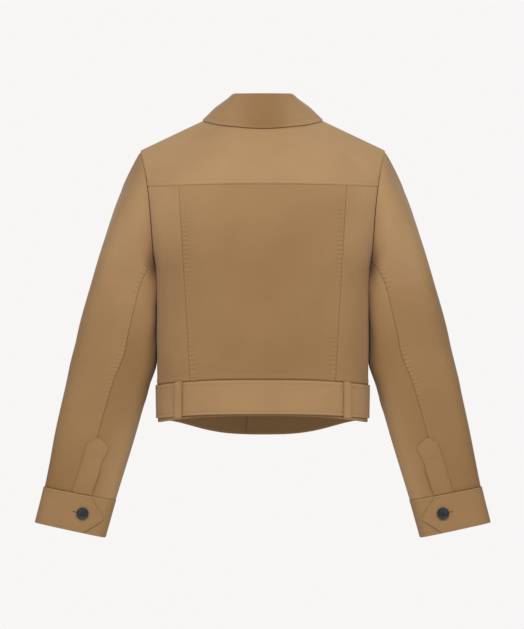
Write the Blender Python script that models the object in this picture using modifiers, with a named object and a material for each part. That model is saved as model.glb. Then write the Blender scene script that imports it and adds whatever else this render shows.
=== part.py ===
"""Cropped jacket with its belt, in its worn shape with nobody in it.

Metres, +Z up. The front faces -Y and the wearer's left is +X. The origin is the middle of
the neck opening, level with the inner ends of the shoulder seams, where a wearer holds it.
Each cut piece is an open surface worked out from the sections below, then given its thickness.
"""

import math
from bisect import bisect_right
from collections import namedtuple

import bmesh
import bpy
from mathutils import Vector

# Cloth
CLOTH = 0.0016
DOUBLE_CLOTH = 0.0022
SEAM = 0.0003
SHOULDER_DROP = 0.00003
SHOULDER_BLEND = 0.006

# Torso, from the hem up. A section is a rounded oblong, deeper or shallower in front than behind.
Section = namedtuple("Section", "height half_width back_depth front_depth")
TORSO = [
    Section(-0.560, 0.1695, 0.097, 0.101),
    Section(-0.500, 0.1695, 0.097, 0.101),
    Section(-0.440, 0.1703, 0.098, 0.103),
    Section(-0.380, 0.1706, 0.101, 0.108),
    Section(-0.320, 0.1700, 0.106, 0.113),
    Section(-0.2606, 0.1720, 0.111, 0.116),
    Section(-0.205, 0.1890, 0.114, 0.115),
    Section(-0.140, 0.2070, 0.115, 0.108),
    Section(-0.065, 0.2260, 0.112, 0.093),
    Section(0.020, 0.2320, 0.110, 0.082),
]
ROUNDNESS = 3.0
HALF_SEAM_ANGLE = (SEAM / 2 / TORSO[0].back_depth) ** (ROUNDNESS / 2)

# Shoulders and neck
NECK_HALF = 0.064
NECK_DROP_BACK = 0.020
NECK_DROP_FRONT = 0.070
SHOULDER_SLOPE = 0.474
SHOULDER_END = 0.198
ROLL_HEIGHT = 0.135
ROLL_SPREAD = 2.2
ROLL_SOFTNESS = 0.8

# Armhole: how far from the middle the seam lies, behind and in front
Armhole = namedtuple("Armhole", "height back_x front_x")
ARMHOLE = [
    Armhole(-0.2606, 0.1720, 0.1720),
    Armhole(-0.2400, 0.1745, 0.1690),
    Armhole(-0.2050, 0.1765, 0.1660),
    Armhole(-0.1600, 0.1795, 0.1655),
    Armhole(-0.1200, 0.1845, 0.1720),
    Armhole(-0.0850, 0.1920, 0.1850),
    Armhole(-0.0636, 0.1980, 0.1980),
]
UNDERARM = ARMHOLE[0].height
SHOULDER_TIP = ARMHOLE[-1].height

# Seams across the body. The whole waist rises a little behind and dips in front.
YOKE_SEAM = -0.124
YOKE_SEAM_FALL = 0.0025
PRINCESS_TOP = 0.133
PRINCESS_BOTTOM = 0.1155
WAIST_SEAM = -0.4425
BELT_TOP = -0.4435
BELT_BOTTOM = -0.4965
HEM = -0.503
HEM_RISE_BACK = 0.003
WAIST_RISE_BACK = 0.010
WAIST_DIP_FRONT = 0.0258
DIP_SHARPNESS = 4.2

# Front overlap, the left front over the right one
BUTTON_STAND = 0.026
OVERLAP_LIFT = 0.0024
OVERLAP_START = 0.075
NECK_COLUMNS = 0.42
FRONT_BUTTONS = 4
FRONT_BUTTON_TOP = -0.098
FRONT_BUTTON_PITCH = 0.086

# Belt and its loops
BAND_OVERLAP = 1.4
BELT_CLEARANCE = 0.0009
BELT_BULGE = 0.0020
BELT_FLARE = 0.0080
BELT_END_LIFT = 0.0030
BELT_RAMP_START = 0.68
BELT_RAMP = 0.36
BELT_TIP_X = -0.112
BELT_TIP_LENGTH = 0.022
BELT_UNDER_X = 0.030
BELT_BUTTON_X = -0.074
LOOP_X = 0.132
LOOP_WIDTH = 0.0125
LOOP_TOP = -0.4408
LOOP_BOTTOM = -0.5008
LOOP_TURN = 0.72
LOOP_CLEARANCE = 0.0005
LOOP_STAND = 0.0045
LOOP_ROWS = 24

# Collar stations from the middle of the back to the front end. Turn is in degrees round the neck.
Collar = namedtuple("Collar", "turn fold_x fold_y fold_z edge_x edge_z bulge lift")
COLLAR = [
    Collar(-45, -0.0385, 0.0450, 0.0265, -0.0600, -0.0311, 0.002, 0.0012),
    Collar(0, 0.0000, 0.0640, 0.0265, 0.0000, -0.0363, 0.002, 0.0012),
    Collar(45, 0.0385, 0.0450, 0.0265, 0.0600, -0.0311, 0.002, 0.0012),
    Collar(90, 0.0505, -0.0020, 0.0245, 0.0970, -0.0145, 0.002, 0.0012),
    Collar(130, 0.0440, -0.0530, 0.0000, 0.0900, -0.0700, 0.007, 0.0022),
    Collar(168, 0.0150, -0.0800, -0.0430, 0.0520, -0.1240, 0.011, 0.0032),
]
RIDGE_TURN = 90
ROLL_RADIUS = 0.0026
STAND_SEAM_DROP = 0.008
COLLAR_LEAN = 0.35
COLLAR_RISE = 0.6

# Sleeve rings below the armhole, by distance along the arm from 0 at the upper arm to 1 at the cuff.
# Outer and inner are the ends of each ring as seen from behind, and tilt is how steeply the ring rises
# towards the back. The back seam is in degrees round the ring from its outer end, going backwards.
Ring = namedtuple("Ring", "along outer_x outer_z inner_x inner_z half_depth middle_y tilt back_seam")
SLEEVE = [
    Ring(0.00, 0.2755, -0.2720, 0.1716, -0.2980, 0.070, -0.012, 0.00, 116),
    Ring(0.18, 0.2940, -0.3350, 0.1712, -0.3620, 0.066, -0.015, 0.00, 107),
    Ring(0.31, 0.3050, -0.3790, 0.1716, -0.4060, 0.062, -0.018, 0.00, 103),
    Ring(0.44, 0.3140, -0.4190, 0.1850, -0.4470, 0.057, -0.020, 0.00, 99),
    Ring(0.70, 0.3340, -0.5080, 0.2095, -0.5330, 0.044, -0.0215, 0.00, 96),
    Ring(1.00, 0.3545, -0.6090, 0.2395, -0.6310, 0.034, -0.023, 0.03, 96),
    Ring(1.18, 0.3690, -0.6680, 0.2570, -0.6925, 0.035, -0.024, 0.06, 96),
]
CUFF_END = SLEEVE[-1].along
SLEEVE_ROUNDNESS = 3.6
CAP_SHARE = 0.38
ARMHOLE_POINTS = 80
ARMHOLE_SEAM_DEG = 150
FRONT_SEAM_DEG = 242
CAP_STARTS = {
    "top": Vector((0.50, 0.00, -0.86)),
    "back": Vector((0.82, 0.34, -0.46)),
    "under": Vector((0.18, -0.36, -0.92)),
    "front": Vector((0.82, -0.34, -0.46)),
}
ARM_DIRECTION = Vector((0.27, 0.0, -0.96))
ARMHOLE_GAP_TOP = 0.0010
ARMHOLE_GAP_SIDE = 0.0005
SLEEVE_SEAM_DEG = 0.15
SLEEVE_END_GAP = 0.0004

# Cuff and vent
CUFF_PROUD = 0.0008
CUFF_LAP_LIFT = 0.0030
CUFF_UNDER_DEG = 62
CUFF_RAMP_DEG = 70
CUFF_UNDER_SPARE = 4
TAB_TOP_DEG = 107
TAB_POINT_DEG = 133.5
TAB_BOTTOM_DEG = 110
TAB_POINT_HEIGHT = 0.46
CUFF_BUTTON_DEG = 103
CUFF_BUTTON_HEIGHT = 0.51
VENT_WIDTH = 0.030
VENT_TOP = 0.715
VENT_SHOULDER = 0.036
VENT_THICK = 0.0014
VENT_CLEARANCE = 0.0005
VENT_TURN_BOTTOM = -2
VENT_TURN_TOP = 2
VENT_FLARE = 0.0035
VENT_FLARE_START = 0.6

# Buttons
BUTTON_RADIUS = 0.0098
BUTTON_THICK = 0.0034
BUTTON_RIM = 0.0022
BUTTON_DISH = 0.0010
BUTTON_EDGE = 0.0008
BUTTON_STEPS = 18

# Colours, linear, and roughness
TAN = (0.352, 0.214, 0.098, 1)
CLOTH_ROUGHNESS = 0.85
HORN = (0.018, 0.019, 0.026, 1)
HORN_ROUGHNESS = 0.35


def clear_scene():
    for obj in list(bpy.data.objects):
        bpy.data.objects.remove(obj)


def finish(name, colour, roughness):
    """A material with one colour all over."""
    made = bpy.data.materials.new(name)
    made.use_nodes = True
    shader = made.node_tree.nodes["Principled BSDF"]
    shader.inputs["Base Color"].default_value = colour
    shader.inputs["Roughness"].default_value = roughness
    shader.inputs["Metallic"].default_value = 0.0
    return made


def along(rows, column, at):
    """A named column at a place along the table's first column, on a smooth curve through its rows."""
    keys = [row[0] for row in rows]
    values = [getattr(row, column) for row in rows]
    at = min(max(at, keys[0]), keys[-1])
    low = min(max(bisect_right(keys, at) - 1, 0), len(keys) - 2)
    high = low + 1

    def slope(i):
        before, after = max(i - 1, 0), min(i + 1, len(keys) - 1)
        return (values[after] - values[before]) / (keys[after] - keys[before])

    step = keys[high] - keys[low]
    t = (at - keys[low]) / step
    start = values[low] * (1 + 2 * t) + slope(low) * step * t
    end = values[high] * (3 - 2 * t) - slope(high) * step * (1 - t)
    return start * (1 - t) ** 2 + end * t**2


def mix(a, b, t):
    return a + (b - a) * t


def ease(t):
    """0 below 0, 1 above 1, and smooth between."""
    t = min(max(t, 0.0), 1.0)
    return t * t * (3 - 2 * t)


def power(value, exponent):
    """A power that keeps the sign of its base."""
    return math.copysign(abs(value) ** exponent, value)


# Torso surface


def ridge(x):
    """Height of the shoulder line, rounded over inside the neck."""
    x = abs(x)
    if x >= NECK_HALF:
        return -SHOULDER_SLOPE * (x - NECK_HALF)
    return 0.5 * SHOULDER_SLOPE * NECK_HALF * (1 - (x / NECK_HALF) ** 2)


def shoulder_roll(x, height):
    """0 on the shoulder line and 1 on the chest and back below it."""
    share = min(max((ridge(x) - height) / ROLL_HEIGHT, 0.0), 1.0)
    return (1 - (1 - share) ** ROLL_SPREAD) ** ROLL_SOFTNESS


def torso(facing, angle, height):
    """A point of the cloth. Facing is 1 behind and -1 in front; angle runs from 0 in the middle to a right angle
    at the side seam, positive towards the wearer's left."""
    x = along(TORSO, "half_width", height) * power(math.sin(angle), 2 / ROUNDNESS)
    column = "back_depth" if facing > 0 else "front_depth"
    depth = along(TORSO, column, height) * power(math.cos(angle), 2 / ROUNDNESS)
    return Vector((x, facing * depth * shoulder_roll(x, height), height))


def torso_angle(x, height):
    """The angle that gives this distance from the middle."""
    share = min(abs(x) / along(TORSO, "half_width", height), 1.0)
    return math.copysign(math.asin(share ** (ROUNDNESS / 2)), x)


def torso_normal(facing, angle, height):
    """Away from the body. Along the shoulder seam it has no part backwards or forwards."""
    turn, rise = 0.001, 0.00004
    aside = torso(facing, angle + turn, height) - torso(facing, angle - turn, height)
    up = torso(facing, angle, height + rise) - torso(facing, angle, height - rise)
    away = (aside.cross(up) * -facing).normalized()
    x = torso(facing, angle, height).x
    if abs(x) < NECK_HALF:
        return away
    level = Vector((math.copysign(SHOULDER_SLOPE, x), 0, 1)).normalized()
    return mix(level, away, ease((ridge(x) - height) / SHOULDER_BLEND)).normalized()


def raised(facing, angle, height, lift):
    """A point of the torso's cloth moved out by lift."""
    return torso(facing, angle, height) + torso_normal(facing, angle, height) * lift


def edge_angle(facing, height):
    """Where a body panel ends: at the side seam, and above the underarm at the armhole."""
    if height <= UNDERARM:
        return math.pi / 2 - HALF_SEAM_ANGLE
    column = "back_x" if facing > 0 else "front_x"
    return torso_angle(along(ARMHOLE, column, height), height) - HALF_SEAM_ANGLE


def waist_shift(facing, angle):
    """How much higher than at the side seam the waist lies here."""
    if facing > 0:
        return WAIST_RISE_BACK * math.cos(angle) ** 2
    return -WAIST_DIP_FRONT * abs(math.cos(angle)) ** DIP_SHARPNESS


def yoke_seam(x):
    return YOKE_SEAM - YOKE_SEAM_FALL * (x / SHOULDER_END) ** 2


def neck_line(facing, x):
    """Height of the neck seam inside the neck, and of the shoulder line outside it."""
    if abs(x) >= NECK_HALF:
        return ridge(x)
    inside = 1 - (x / NECK_HALF) ** 2
    if facing > 0:
        return -NECK_DROP_BACK * inside
    return -NECK_DROP_FRONT * math.sqrt(inside)


def closer_above(v):
    """Spreads rows up a panel with more of them near its top."""
    return v * (1.5 - 0.5 * v)


# Making a piece


def wall(name, surface, columns, rows, thickness=CLOTH):
    """A sheet of cloth: a grid thickened by an extrusion, with both faces laid on a surface of two shares
    from 0 to 1 and a depth below the outside."""
    sheet = bmesh.new()
    bmesh.ops.create_grid(sheet, x_segments=columns, y_segments=rows, size=0.5)
    grid = sheet.faces[:] + sheet.edges[:]
    lower = bmesh.ops.extrude_face_region(sheet, geom=grid, use_keep_orig=True)["geom"]
    depths = dict.fromkeys(sheet.verts, 0.0)
    depths.update((vert, thickness) for vert in lower if isinstance(vert, bmesh.types.BMVert))
    for vert, depth in depths.items():
        vert.co = surface(vert.co.x + 0.5, vert.co.y + 0.5, depth)
    bmesh.ops.recalc_face_normals(sheet, faces=sheet.faces)
    mesh = bpy.data.meshes.new(name)
    sheet.to_mesh(mesh)
    sheet.free()
    mesh.materials.append(finish(f"{name}_cloth", TAN, CLOTH_ROUGHNESS))
    obj = bpy.data.objects.new(name, mesh)
    PARTS.objects.link(obj)
    return obj


# Body pieces


def make_yoke():
    """One piece across both shoulders, from the neck and shoulder seams down to the yoke seam."""

    def surface(u, v, depth):
        across, rise = 2 * u - 1, closer_above(v)
        height = mix(yoke_seam(SHOULDER_END), SHOULDER_TIP, rise)
        for _ in range(3):
            x = across * along(ARMHOLE, "back_x", height)
            height = mix(yoke_seam(x) + SEAM / 2, neck_line(1, x) - SHOULDER_DROP, rise)
        angle = torso_angle(x, height)
        limit = edge_angle(1, height)
        return raised(1, min(max(angle, -limit), limit), height, -depth)

    return wall("back_yoke", surface, 22, 8)


def princess(height):
    """How far from the middle the long back seam lies."""
    share = (height - WAIST_SEAM) / (YOKE_SEAM - WAIST_SEAM)
    return mix(PRINCESS_BOTTOM, PRINCESS_TOP, share)


def back_height(x, level, v):
    bottom = WAIST_SEAM + waist_shift(1, torso_angle(x, level)) + SEAM / 2
    return mix(bottom, yoke_seam(x) - SEAM / 2, v)


def make_back_centre():
    def surface(u, v, depth):
        level = mix(WAIST_SEAM, YOKE_SEAM, v)
        x = (princess(level) - SEAM / 2) * (2 * u - 1)
        height = back_height(x, level, v)
        return raised(1, torso_angle(x, height), height, -depth)

    return wall("back_centre", surface, 10, 12)


def make_back_side(side, name):
    """From the curved seam over the shoulder blade to the side seam, with the armhole above it."""

    def surface(u, v, depth):
        level = mix(WAIST_SEAM, YOKE_SEAM, v)
        seam_x = princess(level) + SEAM / 2
        across = mix(torso_angle(seam_x, level), edge_angle(1, level), u)
        height = back_height(torso(1, across, level).x, level, v)
        angle = mix(torso_angle(seam_x, height), edge_angle(1, height), u)
        return raised(1, side * angle, height, -depth)

    return wall(name, surface, 5, 12)


def overlap_lift(side, x):
    """The left front stands off the right one where they overlap."""
    if side < 0:
        return 0.0
    return OVERLAP_LIFT * ease((OVERLAP_START - x) / (OVERLAP_START - BUTTON_STAND))


def make_front(side, name):
    """From the front edge, past the middle, to the side seam and armhole; up to the neck and shoulder."""
    first = -torso_angle(BUTTON_STAND, WAIST_SEAM)
    waist_half = along(TORSO, "half_width", WAIST_SEAM)

    def surface(u, v, depth):
        if u < NECK_COLUMNS:
            top_x = mix(-BUTTON_STAND, NECK_HALF, u / NECK_COLUMNS)
        else:
            top_x = mix(NECK_HALF, SHOULDER_END, (u - NECK_COLUMNS) / (1 - NECK_COLUMNS))
        rise = closer_above(v)
        level = mix(WAIST_SEAM, SHOULDER_TIP, rise)
        bottom_x = waist_half * power(math.sin(mix(first, math.pi / 2, u)), 2 / ROUNDNESS)
        share = mix(
            (bottom_x + BUTTON_STAND) / (waist_half + BUTTON_STAND),
            (top_x + BUTTON_STAND) / (SHOULDER_END + BUTTON_STAND),
            rise * rise,
        )
        edge = edge_angle(-1, level)
        x = mix(-BUTTON_STAND, torso(-1, edge, level).x, share)
        top = neck_line(-1, max(top_x, 0.0)) - SHOULDER_DROP
        bottom = WAIST_SEAM + waist_shift(-1, torso_angle(x, WAIST_SEAM)) + SEAM / 2
        height = mix(bottom, top, rise)
        angle = edge_angle(-1, height) if u == 1 else torso_angle(x, height)
        lift = overlap_lift(side, x)
        return mirrored(raised(-1, angle, height, lift - depth), side)

    return wall(name, surface, 12, 14)


def mirrored(point, side):
    return Vector((point.x * side, point.y, point.z))


# Waistband and belt


def make_waistband_back():
    def surface(u, v, depth):
        angle = (math.pi / 2 - HALF_SEAM_ANGLE) * (2 * u - 1)
        hem = HEM + HEM_RISE_BACK * math.cos(angle) ** 2
        height = mix(hem, WAIST_SEAM - SEAM / 2, v) + waist_shift(1, angle)
        return raised(1, angle, height, -depth)

    return wall("waistband_back", surface, 28, 2, DOUBLE_CLOTH)


def make_waistband_front(side, name):
    first = -torso_angle(BUTTON_STAND, HEM)

    def surface(u, v, depth):
        angle = mix(first, math.pi / 2 - HALF_SEAM_ANGLE, u)
        height = mix(HEM, WAIST_SEAM - SEAM / 2, v) + waist_shift(-1, angle)
        lift = overlap_lift(side, torso(-1, angle, height).x) * BAND_OVERLAP
        return mirrored(raised(-1, angle, height, lift - depth), side)

    return wall(name, surface, 12, 2, DOUBLE_CLOTH)


def belt_point(turn, v, lift):
    """Turn runs from 0 in the middle of the back, to the wearer's left and on round the front."""
    turn = (turn + math.pi) % (2 * math.pi) - math.pi
    facing = 1 if abs(turn) <= math.pi / 2 else -1
    angle = turn if facing > 0 else math.copysign(math.pi - abs(turn), turn)
    height = mix(BELT_BOTTOM, BELT_TOP, v) + waist_shift(facing, angle)
    return torso(facing, angle, height) + outward(facing, angle) * lift


def outward(facing, angle):
    """The level direction away from the body at the waist."""
    sideways = power(math.sin(angle), 2 - 2 / ROUNDNESS) / TORSO[1].half_width
    deep = facing * power(math.cos(angle), 2 - 2 / ROUNDNESS) / TORSO[1].back_depth
    return Vector((sideways, deep, 0)).normalized()


def front_turn(x):
    """The belt's turn at a place in front, counted past the left side."""
    return math.pi - torso_angle(x, BELT_BOTTOM)


def belt_lift(turn, v):
    """How far the belt's outside stands off the body: more between the loops, most of all at its lower edge,
    and more on its own end."""
    between = max(0.0, math.cos(turn / LOOP_TURN * math.pi / 2)) if abs(turn) < LOOP_TURN else 0.0
    left_front = ease((turn - math.pi + BELT_RAMP_START) / BELT_RAMP)
    right_front = ease((-turn - math.pi + BELT_RAMP_START) / BELT_RAMP)
    lift = DOUBLE_CLOTH + BELT_CLEARANCE + (BELT_BULGE + BELT_FLARE * (1 - v)) * between
    return lift + OVERLAP_LIFT * BAND_OVERLAP * max(left_front, right_front) + BELT_END_LIFT * left_front


def make_belt():
    """One strip all round, with its left end lying on its right end in front."""
    tip = front_turn(BELT_TIP_X)
    start = front_turn(BELT_UNDER_X) - 2 * math.pi
    tip_turn = BELT_TIP_LENGTH / TORSO[1].half_width

    def surface(u, v, depth):
        turn = mix(start, tip - tip_turn * abs(2 * v - 1), u)
        return belt_point(turn, v, belt_lift(turn, v) - depth)

    return wall("belt", surface, 70, 2, DOUBLE_CLOTH)


def make_loop(side, name):
    """A strip sewn down above the belt and at the hem, standing over the belt between."""

    def surface(u, v, depth):
        x = side * LOOP_X + LOOP_WIDTH * (u - 0.5)
        level = mix(LOOP_BOTTOM, LOOP_TOP, v)
        angle = torso_angle(x, level)
        over = ease(v * LOOP_ROWS) * ease((1 - v) * LOOP_ROWS)
        lift = CLOTH + LOOP_CLEARANCE + LOOP_STAND * over - depth
        return torso(1, angle, level + waist_shift(1, angle)) + outward(1, angle) * lift

    return wall(name, surface, 2, LOOP_ROWS)


# Collar


def collar_out(turn):
    turn = math.radians(turn)
    return Vector((math.sin(turn), math.cos(turn), 0))


def collar_fold(turn):
    return Vector([along(COLLAR, column, turn) for column in ("fold_x", "fold_y", "fold_z")])


def collar_edge(turn):
    """The collar's outer edge, on the shoulder and just off it."""
    x = along(COLLAR, "edge_x", turn)
    facing = 1 if turn <= RIDGE_TURN else -1
    height = min(along(COLLAR, "edge_z", turn), ridge(x) - SHOULDER_DROP)
    off = (collar_out(turn) * COLLAR_LEAN + Vector((0, 0, 1))).normalized()
    return torso(facing, torso_angle(x, height), height) + off * (along(COLLAR, "lift", turn) + CLOTH)


def neck_seam(turn):
    """The neck edge of the body at this turn round the neck."""
    facing = 1 if turn <= RIDGE_TURN else -1
    x = NECK_HALF * min(math.sin(math.radians(turn)), 0.99999)
    height = neck_line(facing, x)
    return torso(facing, torso_angle(x, height), height)


def sunk(surface, u, v, depth):
    """A point of a surface of two shares, moved in below it."""
    step = 0.004
    aside = surface(u + step, v) - surface(u - step, v)
    up = surface(u, v + step) - surface(u, v - step)
    return surface(u, v) - aside.cross(up).normalized() * depth


def stand_line(turn):
    """The neck end and the fold end of the inner leaf, and where the fall is sewn to the stand."""
    out, up = collar_out(turn), Vector((0, 0, 1))
    bottom = neck_seam(turn) + up * (CLOTH + SEAM) - out * CLOTH
    top = collar_fold(turn) - (out + up) * ROLL_RADIUS
    return bottom, top, top + (bottom - top).normalized() * STAND_SEAM_DROP


def collar_profile(turn):
    """Points across the fall from its outer edge, over the fold and down to the stand."""
    fold, edge, out, up = collar_fold(turn), collar_edge(turn), collar_out(turn), Vector((0, 0, 1))
    bottom, rise, seam = stand_line(turn)
    drop = fold + (out - up) * ROLL_RADIUS
    middle = mix(drop, edge, 0.5) + (out + up * COLLAR_RISE) * along(COLLAR, "bulge", turn)
    end = seam + (rise - bottom).normalized() * SEAM / 2
    return [edge, mix(edge, middle, 0.5), middle, mix(middle, drop, 0.45), drop, fold, rise, end]


def make_collar_fall():
    """The turned-down leaf, rolled over its fold and a little way down inside."""

    def leaf(u, v):
        around = (2 * u - 1) * COLLAR[-1].turn
        points = collar_profile(abs(around))
        place = v * (len(points) - 1)
        low = min(max(int(place), 0), len(points) - 2)
        return mirrored(mix(points[low], points[low + 1], place - low), -math.copysign(1, around))

    def surface(u, v, depth):
        return sunk(leaf, u, v, depth)

    return wall("collar_fall", surface, 28, 7)


def make_collar_stand():
    """The upright band between the neck seam and the fall."""

    def band(u, v):
        around = (2 * u - 1) * COLLAR[-1].turn
        bottom, top, seam = stand_line(abs(around))
        end = seam + (bottom - top).normalized() * SEAM / 2
        return mirrored(mix(bottom, end, v), -math.copysign(1, around))

    def surface(u, v, depth):
        return sunk(band, u, v, -depth)

    return wall("collar_stand", surface, 28, 3)


# Sleeves


def armhole_curve(facing):
    """Points down the armhole seam from the shoulder to the underarm, with their share of its length."""
    points = []
    for i in range(ARMHOLE_POINTS + 1):
        height = mix(SHOULDER_TIP, UNDERARM, i / ARMHOLE_POINTS)
        points.append(torso(facing, edge_angle(facing, height), height))
    lengths = [0.0]
    for before, after in zip(points, points[1:]):
        lengths.append(lengths[-1] + (after - before).length)
    return [(length / lengths[-1], point) for length, point in zip(lengths, points)]


def armhole_point(curves, degrees):
    """A point of the armhole ring: 0 at the shoulder, 90 behind, 180 under the arm, 270 in front."""
    degrees %= 360
    facing, share = (1, degrees / 180) if degrees <= 180 else (-1, (360 - degrees) / 180)
    rows = curves[facing]
    high = min(max(bisect_right([row[0] for row in rows], share), 1), len(rows) - 1)
    low = high - 1
    t = (share - rows[low][0]) / (rows[high][0] - rows[low][0])
    return mix(rows[low][1], rows[high][1], t)


def ring_point(place, degrees, lift=0.0):
    """A point of a sleeve or cuff ring, moved out by lift."""
    outer = Vector((along(SLEEVE, "outer_x", place), 0, along(SLEEVE, "outer_z", place)))
    inner = Vector((along(SLEEVE, "inner_x", place), 0, along(SLEEVE, "inner_z", place)))
    centre = (outer + inner) / 2 + Vector((0, along(SLEEVE, "middle_y", place), 0))
    half = (outer - inner) / 2
    cos, sin = math.cos(math.radians(degrees)), math.sin(math.radians(degrees))
    swell = (abs(cos) ** SLEEVE_ROUNDNESS + abs(sin) ** SLEEVE_ROUNDNESS) ** (-1 / SLEEVE_ROUNDNESS)
    across = half.normalized() * (half.length + lift) * cos * swell
    deep = (along(SLEEVE, "half_depth", place) + lift) * sin * swell
    return centre + across + Vector((0, deep, deep * along(SLEEVE, "tilt", place)))


def cap_start(degrees):
    """The direction in which the sleeve leaves the armhole."""
    turn = math.radians(degrees)
    shares = {
        "top": max(math.cos(turn), 0) ** 2,
        "back": max(math.sin(turn), 0) ** 2,
        "under": max(-math.cos(turn), 0) ** 2,
        "front": max(-math.sin(turn), 0) ** 2,
    }
    return sum((CAP_STARTS[name] * share for name, share in shares.items()), Vector()).normalized()


def sleeve_point(curves, share, degrees):
    """Share runs from 0 at the armhole to 1 at the cuff."""
    if share >= CAP_SHARE:
        return ring_point((share - CAP_SHARE) / (1 - CAP_SHARE), degrees)
    t = share / CAP_SHARE
    leave = cap_start(degrees)
    top = max(math.cos(math.radians(degrees)), 0.0)
    start = armhole_point(curves, degrees) + leave * mix(ARMHOLE_GAP_SIDE, ARMHOLE_GAP_TOP, top)
    end = ring_point(0.0, degrees)
    reach = (end - start).length
    begin, arrive = leave * reach, ARM_DIRECTION * reach
    point = start * (2 * t**3 - 3 * t**2 + 1) + begin * (t**3 - 2 * t**2 + t)
    return point + end * (3 * t**2 - 2 * t**3) + arrive * (t**3 - t**2)


def sleeve_inside(curves, share, degrees, depth):
    """A point of the sleeve, moved in by depth."""
    turn, step = 1.0, 0.004
    aside = sleeve_point(curves, share, degrees + turn) - sleeve_point(curves, share, degrees - turn)
    down = sleeve_point(curves, share + step, degrees) - sleeve_point(curves, max(share - step, 0), degrees)
    return sleeve_point(curves, share, degrees) - down.cross(aside).normalized() * depth


def back_seam(share):
    """Where the seam down the back of the sleeve lies, in degrees round the ring."""
    if share >= CAP_SHARE:
        return along(SLEEVE, "back_seam", (share - CAP_SHARE) / (1 - CAP_SHARE))
    return mix(ARMHOLE_SEAM_DEG, SLEEVE[0].back_seam, ease(share / CAP_SHARE))


def front_seam(share):
    return FRONT_SEAM_DEG


def make_sleeve_panel(curves, side, name, first, last, columns, rows):
    """A panel between two seams, given in degrees at a share along the sleeve."""

    def surface(u, v, depth):
        share = (1 - SLEEVE_END_GAP) * (1 - v)
        degrees = mix(first(share) + SLEEVE_SEAM_DEG, last(share) - SLEEVE_SEAM_DEG, u)
        return mirrored(sleeve_inside(curves, share, degrees, depth), side)

    return wall(name, surface, columns, rows)


def make_sleeve(curves, side, hand):
    """A large top panel and a smaller one under the arm."""

    def back_seam_round(share):
        return back_seam(share) + 360

    make_sleeve_panel(curves, side, f"sleeve_under_{hand}", back_seam, front_seam, 8, 16)
    make_sleeve_panel(curves, side, f"sleeve_top_{hand}", front_seam, back_seam_round, 13, 16)


def cuff_place(height):
    """Along the sleeve table, from 0 at the cuff's lower edge to 1 at its seam."""
    return mix(CUFF_END, 1.0 + SLEEVE_END_GAP, height)


def tab_end(height):
    """Where the pointed end of the cuff stops, in degrees round the ring."""
    if height < TAB_POINT_HEIGHT:
        return mix(TAB_BOTTOM_DEG, TAB_POINT_DEG, height / TAB_POINT_HEIGHT)
    return mix(TAB_POINT_DEG, TAB_TOP_DEG, (height - TAB_POINT_HEIGHT) / (1 - TAB_POINT_HEIGHT))


def cuff_lift(degrees):
    """The pointed end lies on the other end."""
    return CUFF_PROUD + CUFF_LAP_LIFT * ease((degrees - CUFF_UNDER_DEG + CUFF_RAMP_DEG) / CUFF_RAMP_DEG)


def make_cuff(side, hand):
    def surface(u, v, depth):
        degrees = mix(CUFF_UNDER_DEG + CUFF_UNDER_SPARE - 360, tab_end(v), u)
        return mirrored(ring_point(cuff_place(v), degrees, cuff_lift(degrees) - depth), side)

    return wall(f"cuff_{hand}", surface, 32, 5, DOUBLE_CLOTH)


def make_vent(side, hand):
    """The strip over the slit above the cuff, pointed at its upper end."""

    def surface(u, v, depth):
        top = VENT_TOP + VENT_SHOULDER * abs(2 * u - 1)
        place = mix(1 - SLEEVE_END_GAP, top, v)
        middle = along(SLEEVE, "back_seam", place) + mix(VENT_TURN_BOTTOM, VENT_TURN_TOP, v)
        per_degree = (ring_point(place, middle + 1) - ring_point(place, middle)).length
        flare = VENT_FLARE * max(2 * u - 1, 0) * ease((v - VENT_FLARE_START) / (1 - VENT_FLARE_START))
        degrees = middle + (VENT_WIDTH * (u - 0.5) + flare) / per_degree
        return mirrored(ring_point(place, degrees, VENT_THICK + VENT_CLEARANCE - depth), side)

    return wall(f"vent_{hand}", surface, 4, 8, VENT_THICK)


# Buttons


def make_button(name, seat, direction):
    """A turned disc with a raised rim round a shallow dish, standing on seat."""
    profile = [
        (0.0, BUTTON_THICK - BUTTON_DISH),
        (BUTTON_RADIUS - BUTTON_RIM - BUTTON_EDGE, BUTTON_THICK - BUTTON_DISH),
        (BUTTON_RADIUS - BUTTON_RIM, BUTTON_THICK),
        (BUTTON_RADIUS - BUTTON_EDGE, BUTTON_THICK),
        (BUTTON_RADIUS, BUTTON_THICK - BUTTON_EDGE),
        (BUTTON_RADIUS, BUTTON_EDGE),
        (BUTTON_RADIUS - BUTTON_EDGE, 0.0),
        (0.0, 0.0),
    ]
    mesh = bpy.data.meshes.new(name)
    outline = bmesh.new()
    verts = [outline.verts.new((radius, 0, height)) for radius, height in profile]
    for before, after in zip(verts, verts[1:]):
        outline.edges.new((before, after))
    outline.to_mesh(mesh)
    outline.free()
    mesh.materials.append(finish(f"{name}_horn", HORN, HORN_ROUGHNESS))
    obj = bpy.data.objects.new(name, mesh)
    PARTS.objects.link(obj)
    turned = obj.modifiers.new("Turned", "SCREW")
    turned.steps = turned.render_steps = BUTTON_STEPS
    turned.use_merge_vertices = True
    turned.merge_threshold = 0.0001
    turned.use_smooth_shade = True
    obj.location = seat + direction * SEAM
    obj.rotation_euler = direction.to_track_quat("Z", "Y").to_euler()
    return obj


def make_front_buttons():
    for i in range(FRONT_BUTTONS):
        height = FRONT_BUTTON_TOP - FRONT_BUTTON_PITCH * i
        seat = raised(-1, 0.0, height, OVERLAP_LIFT)
        make_button(f"button_front_{i + 1}", seat, torso_normal(-1, 0.0, height))


def make_belt_button():
    turn = front_turn(BELT_BUTTON_X)
    lift = belt_lift(turn, 0.5)
    seat = belt_point(turn, 0.5, lift)
    direction = belt_point(turn, 0.5, lift + BUTTON_THICK) - seat
    make_button("button_belt", seat, direction.normalized())


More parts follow.
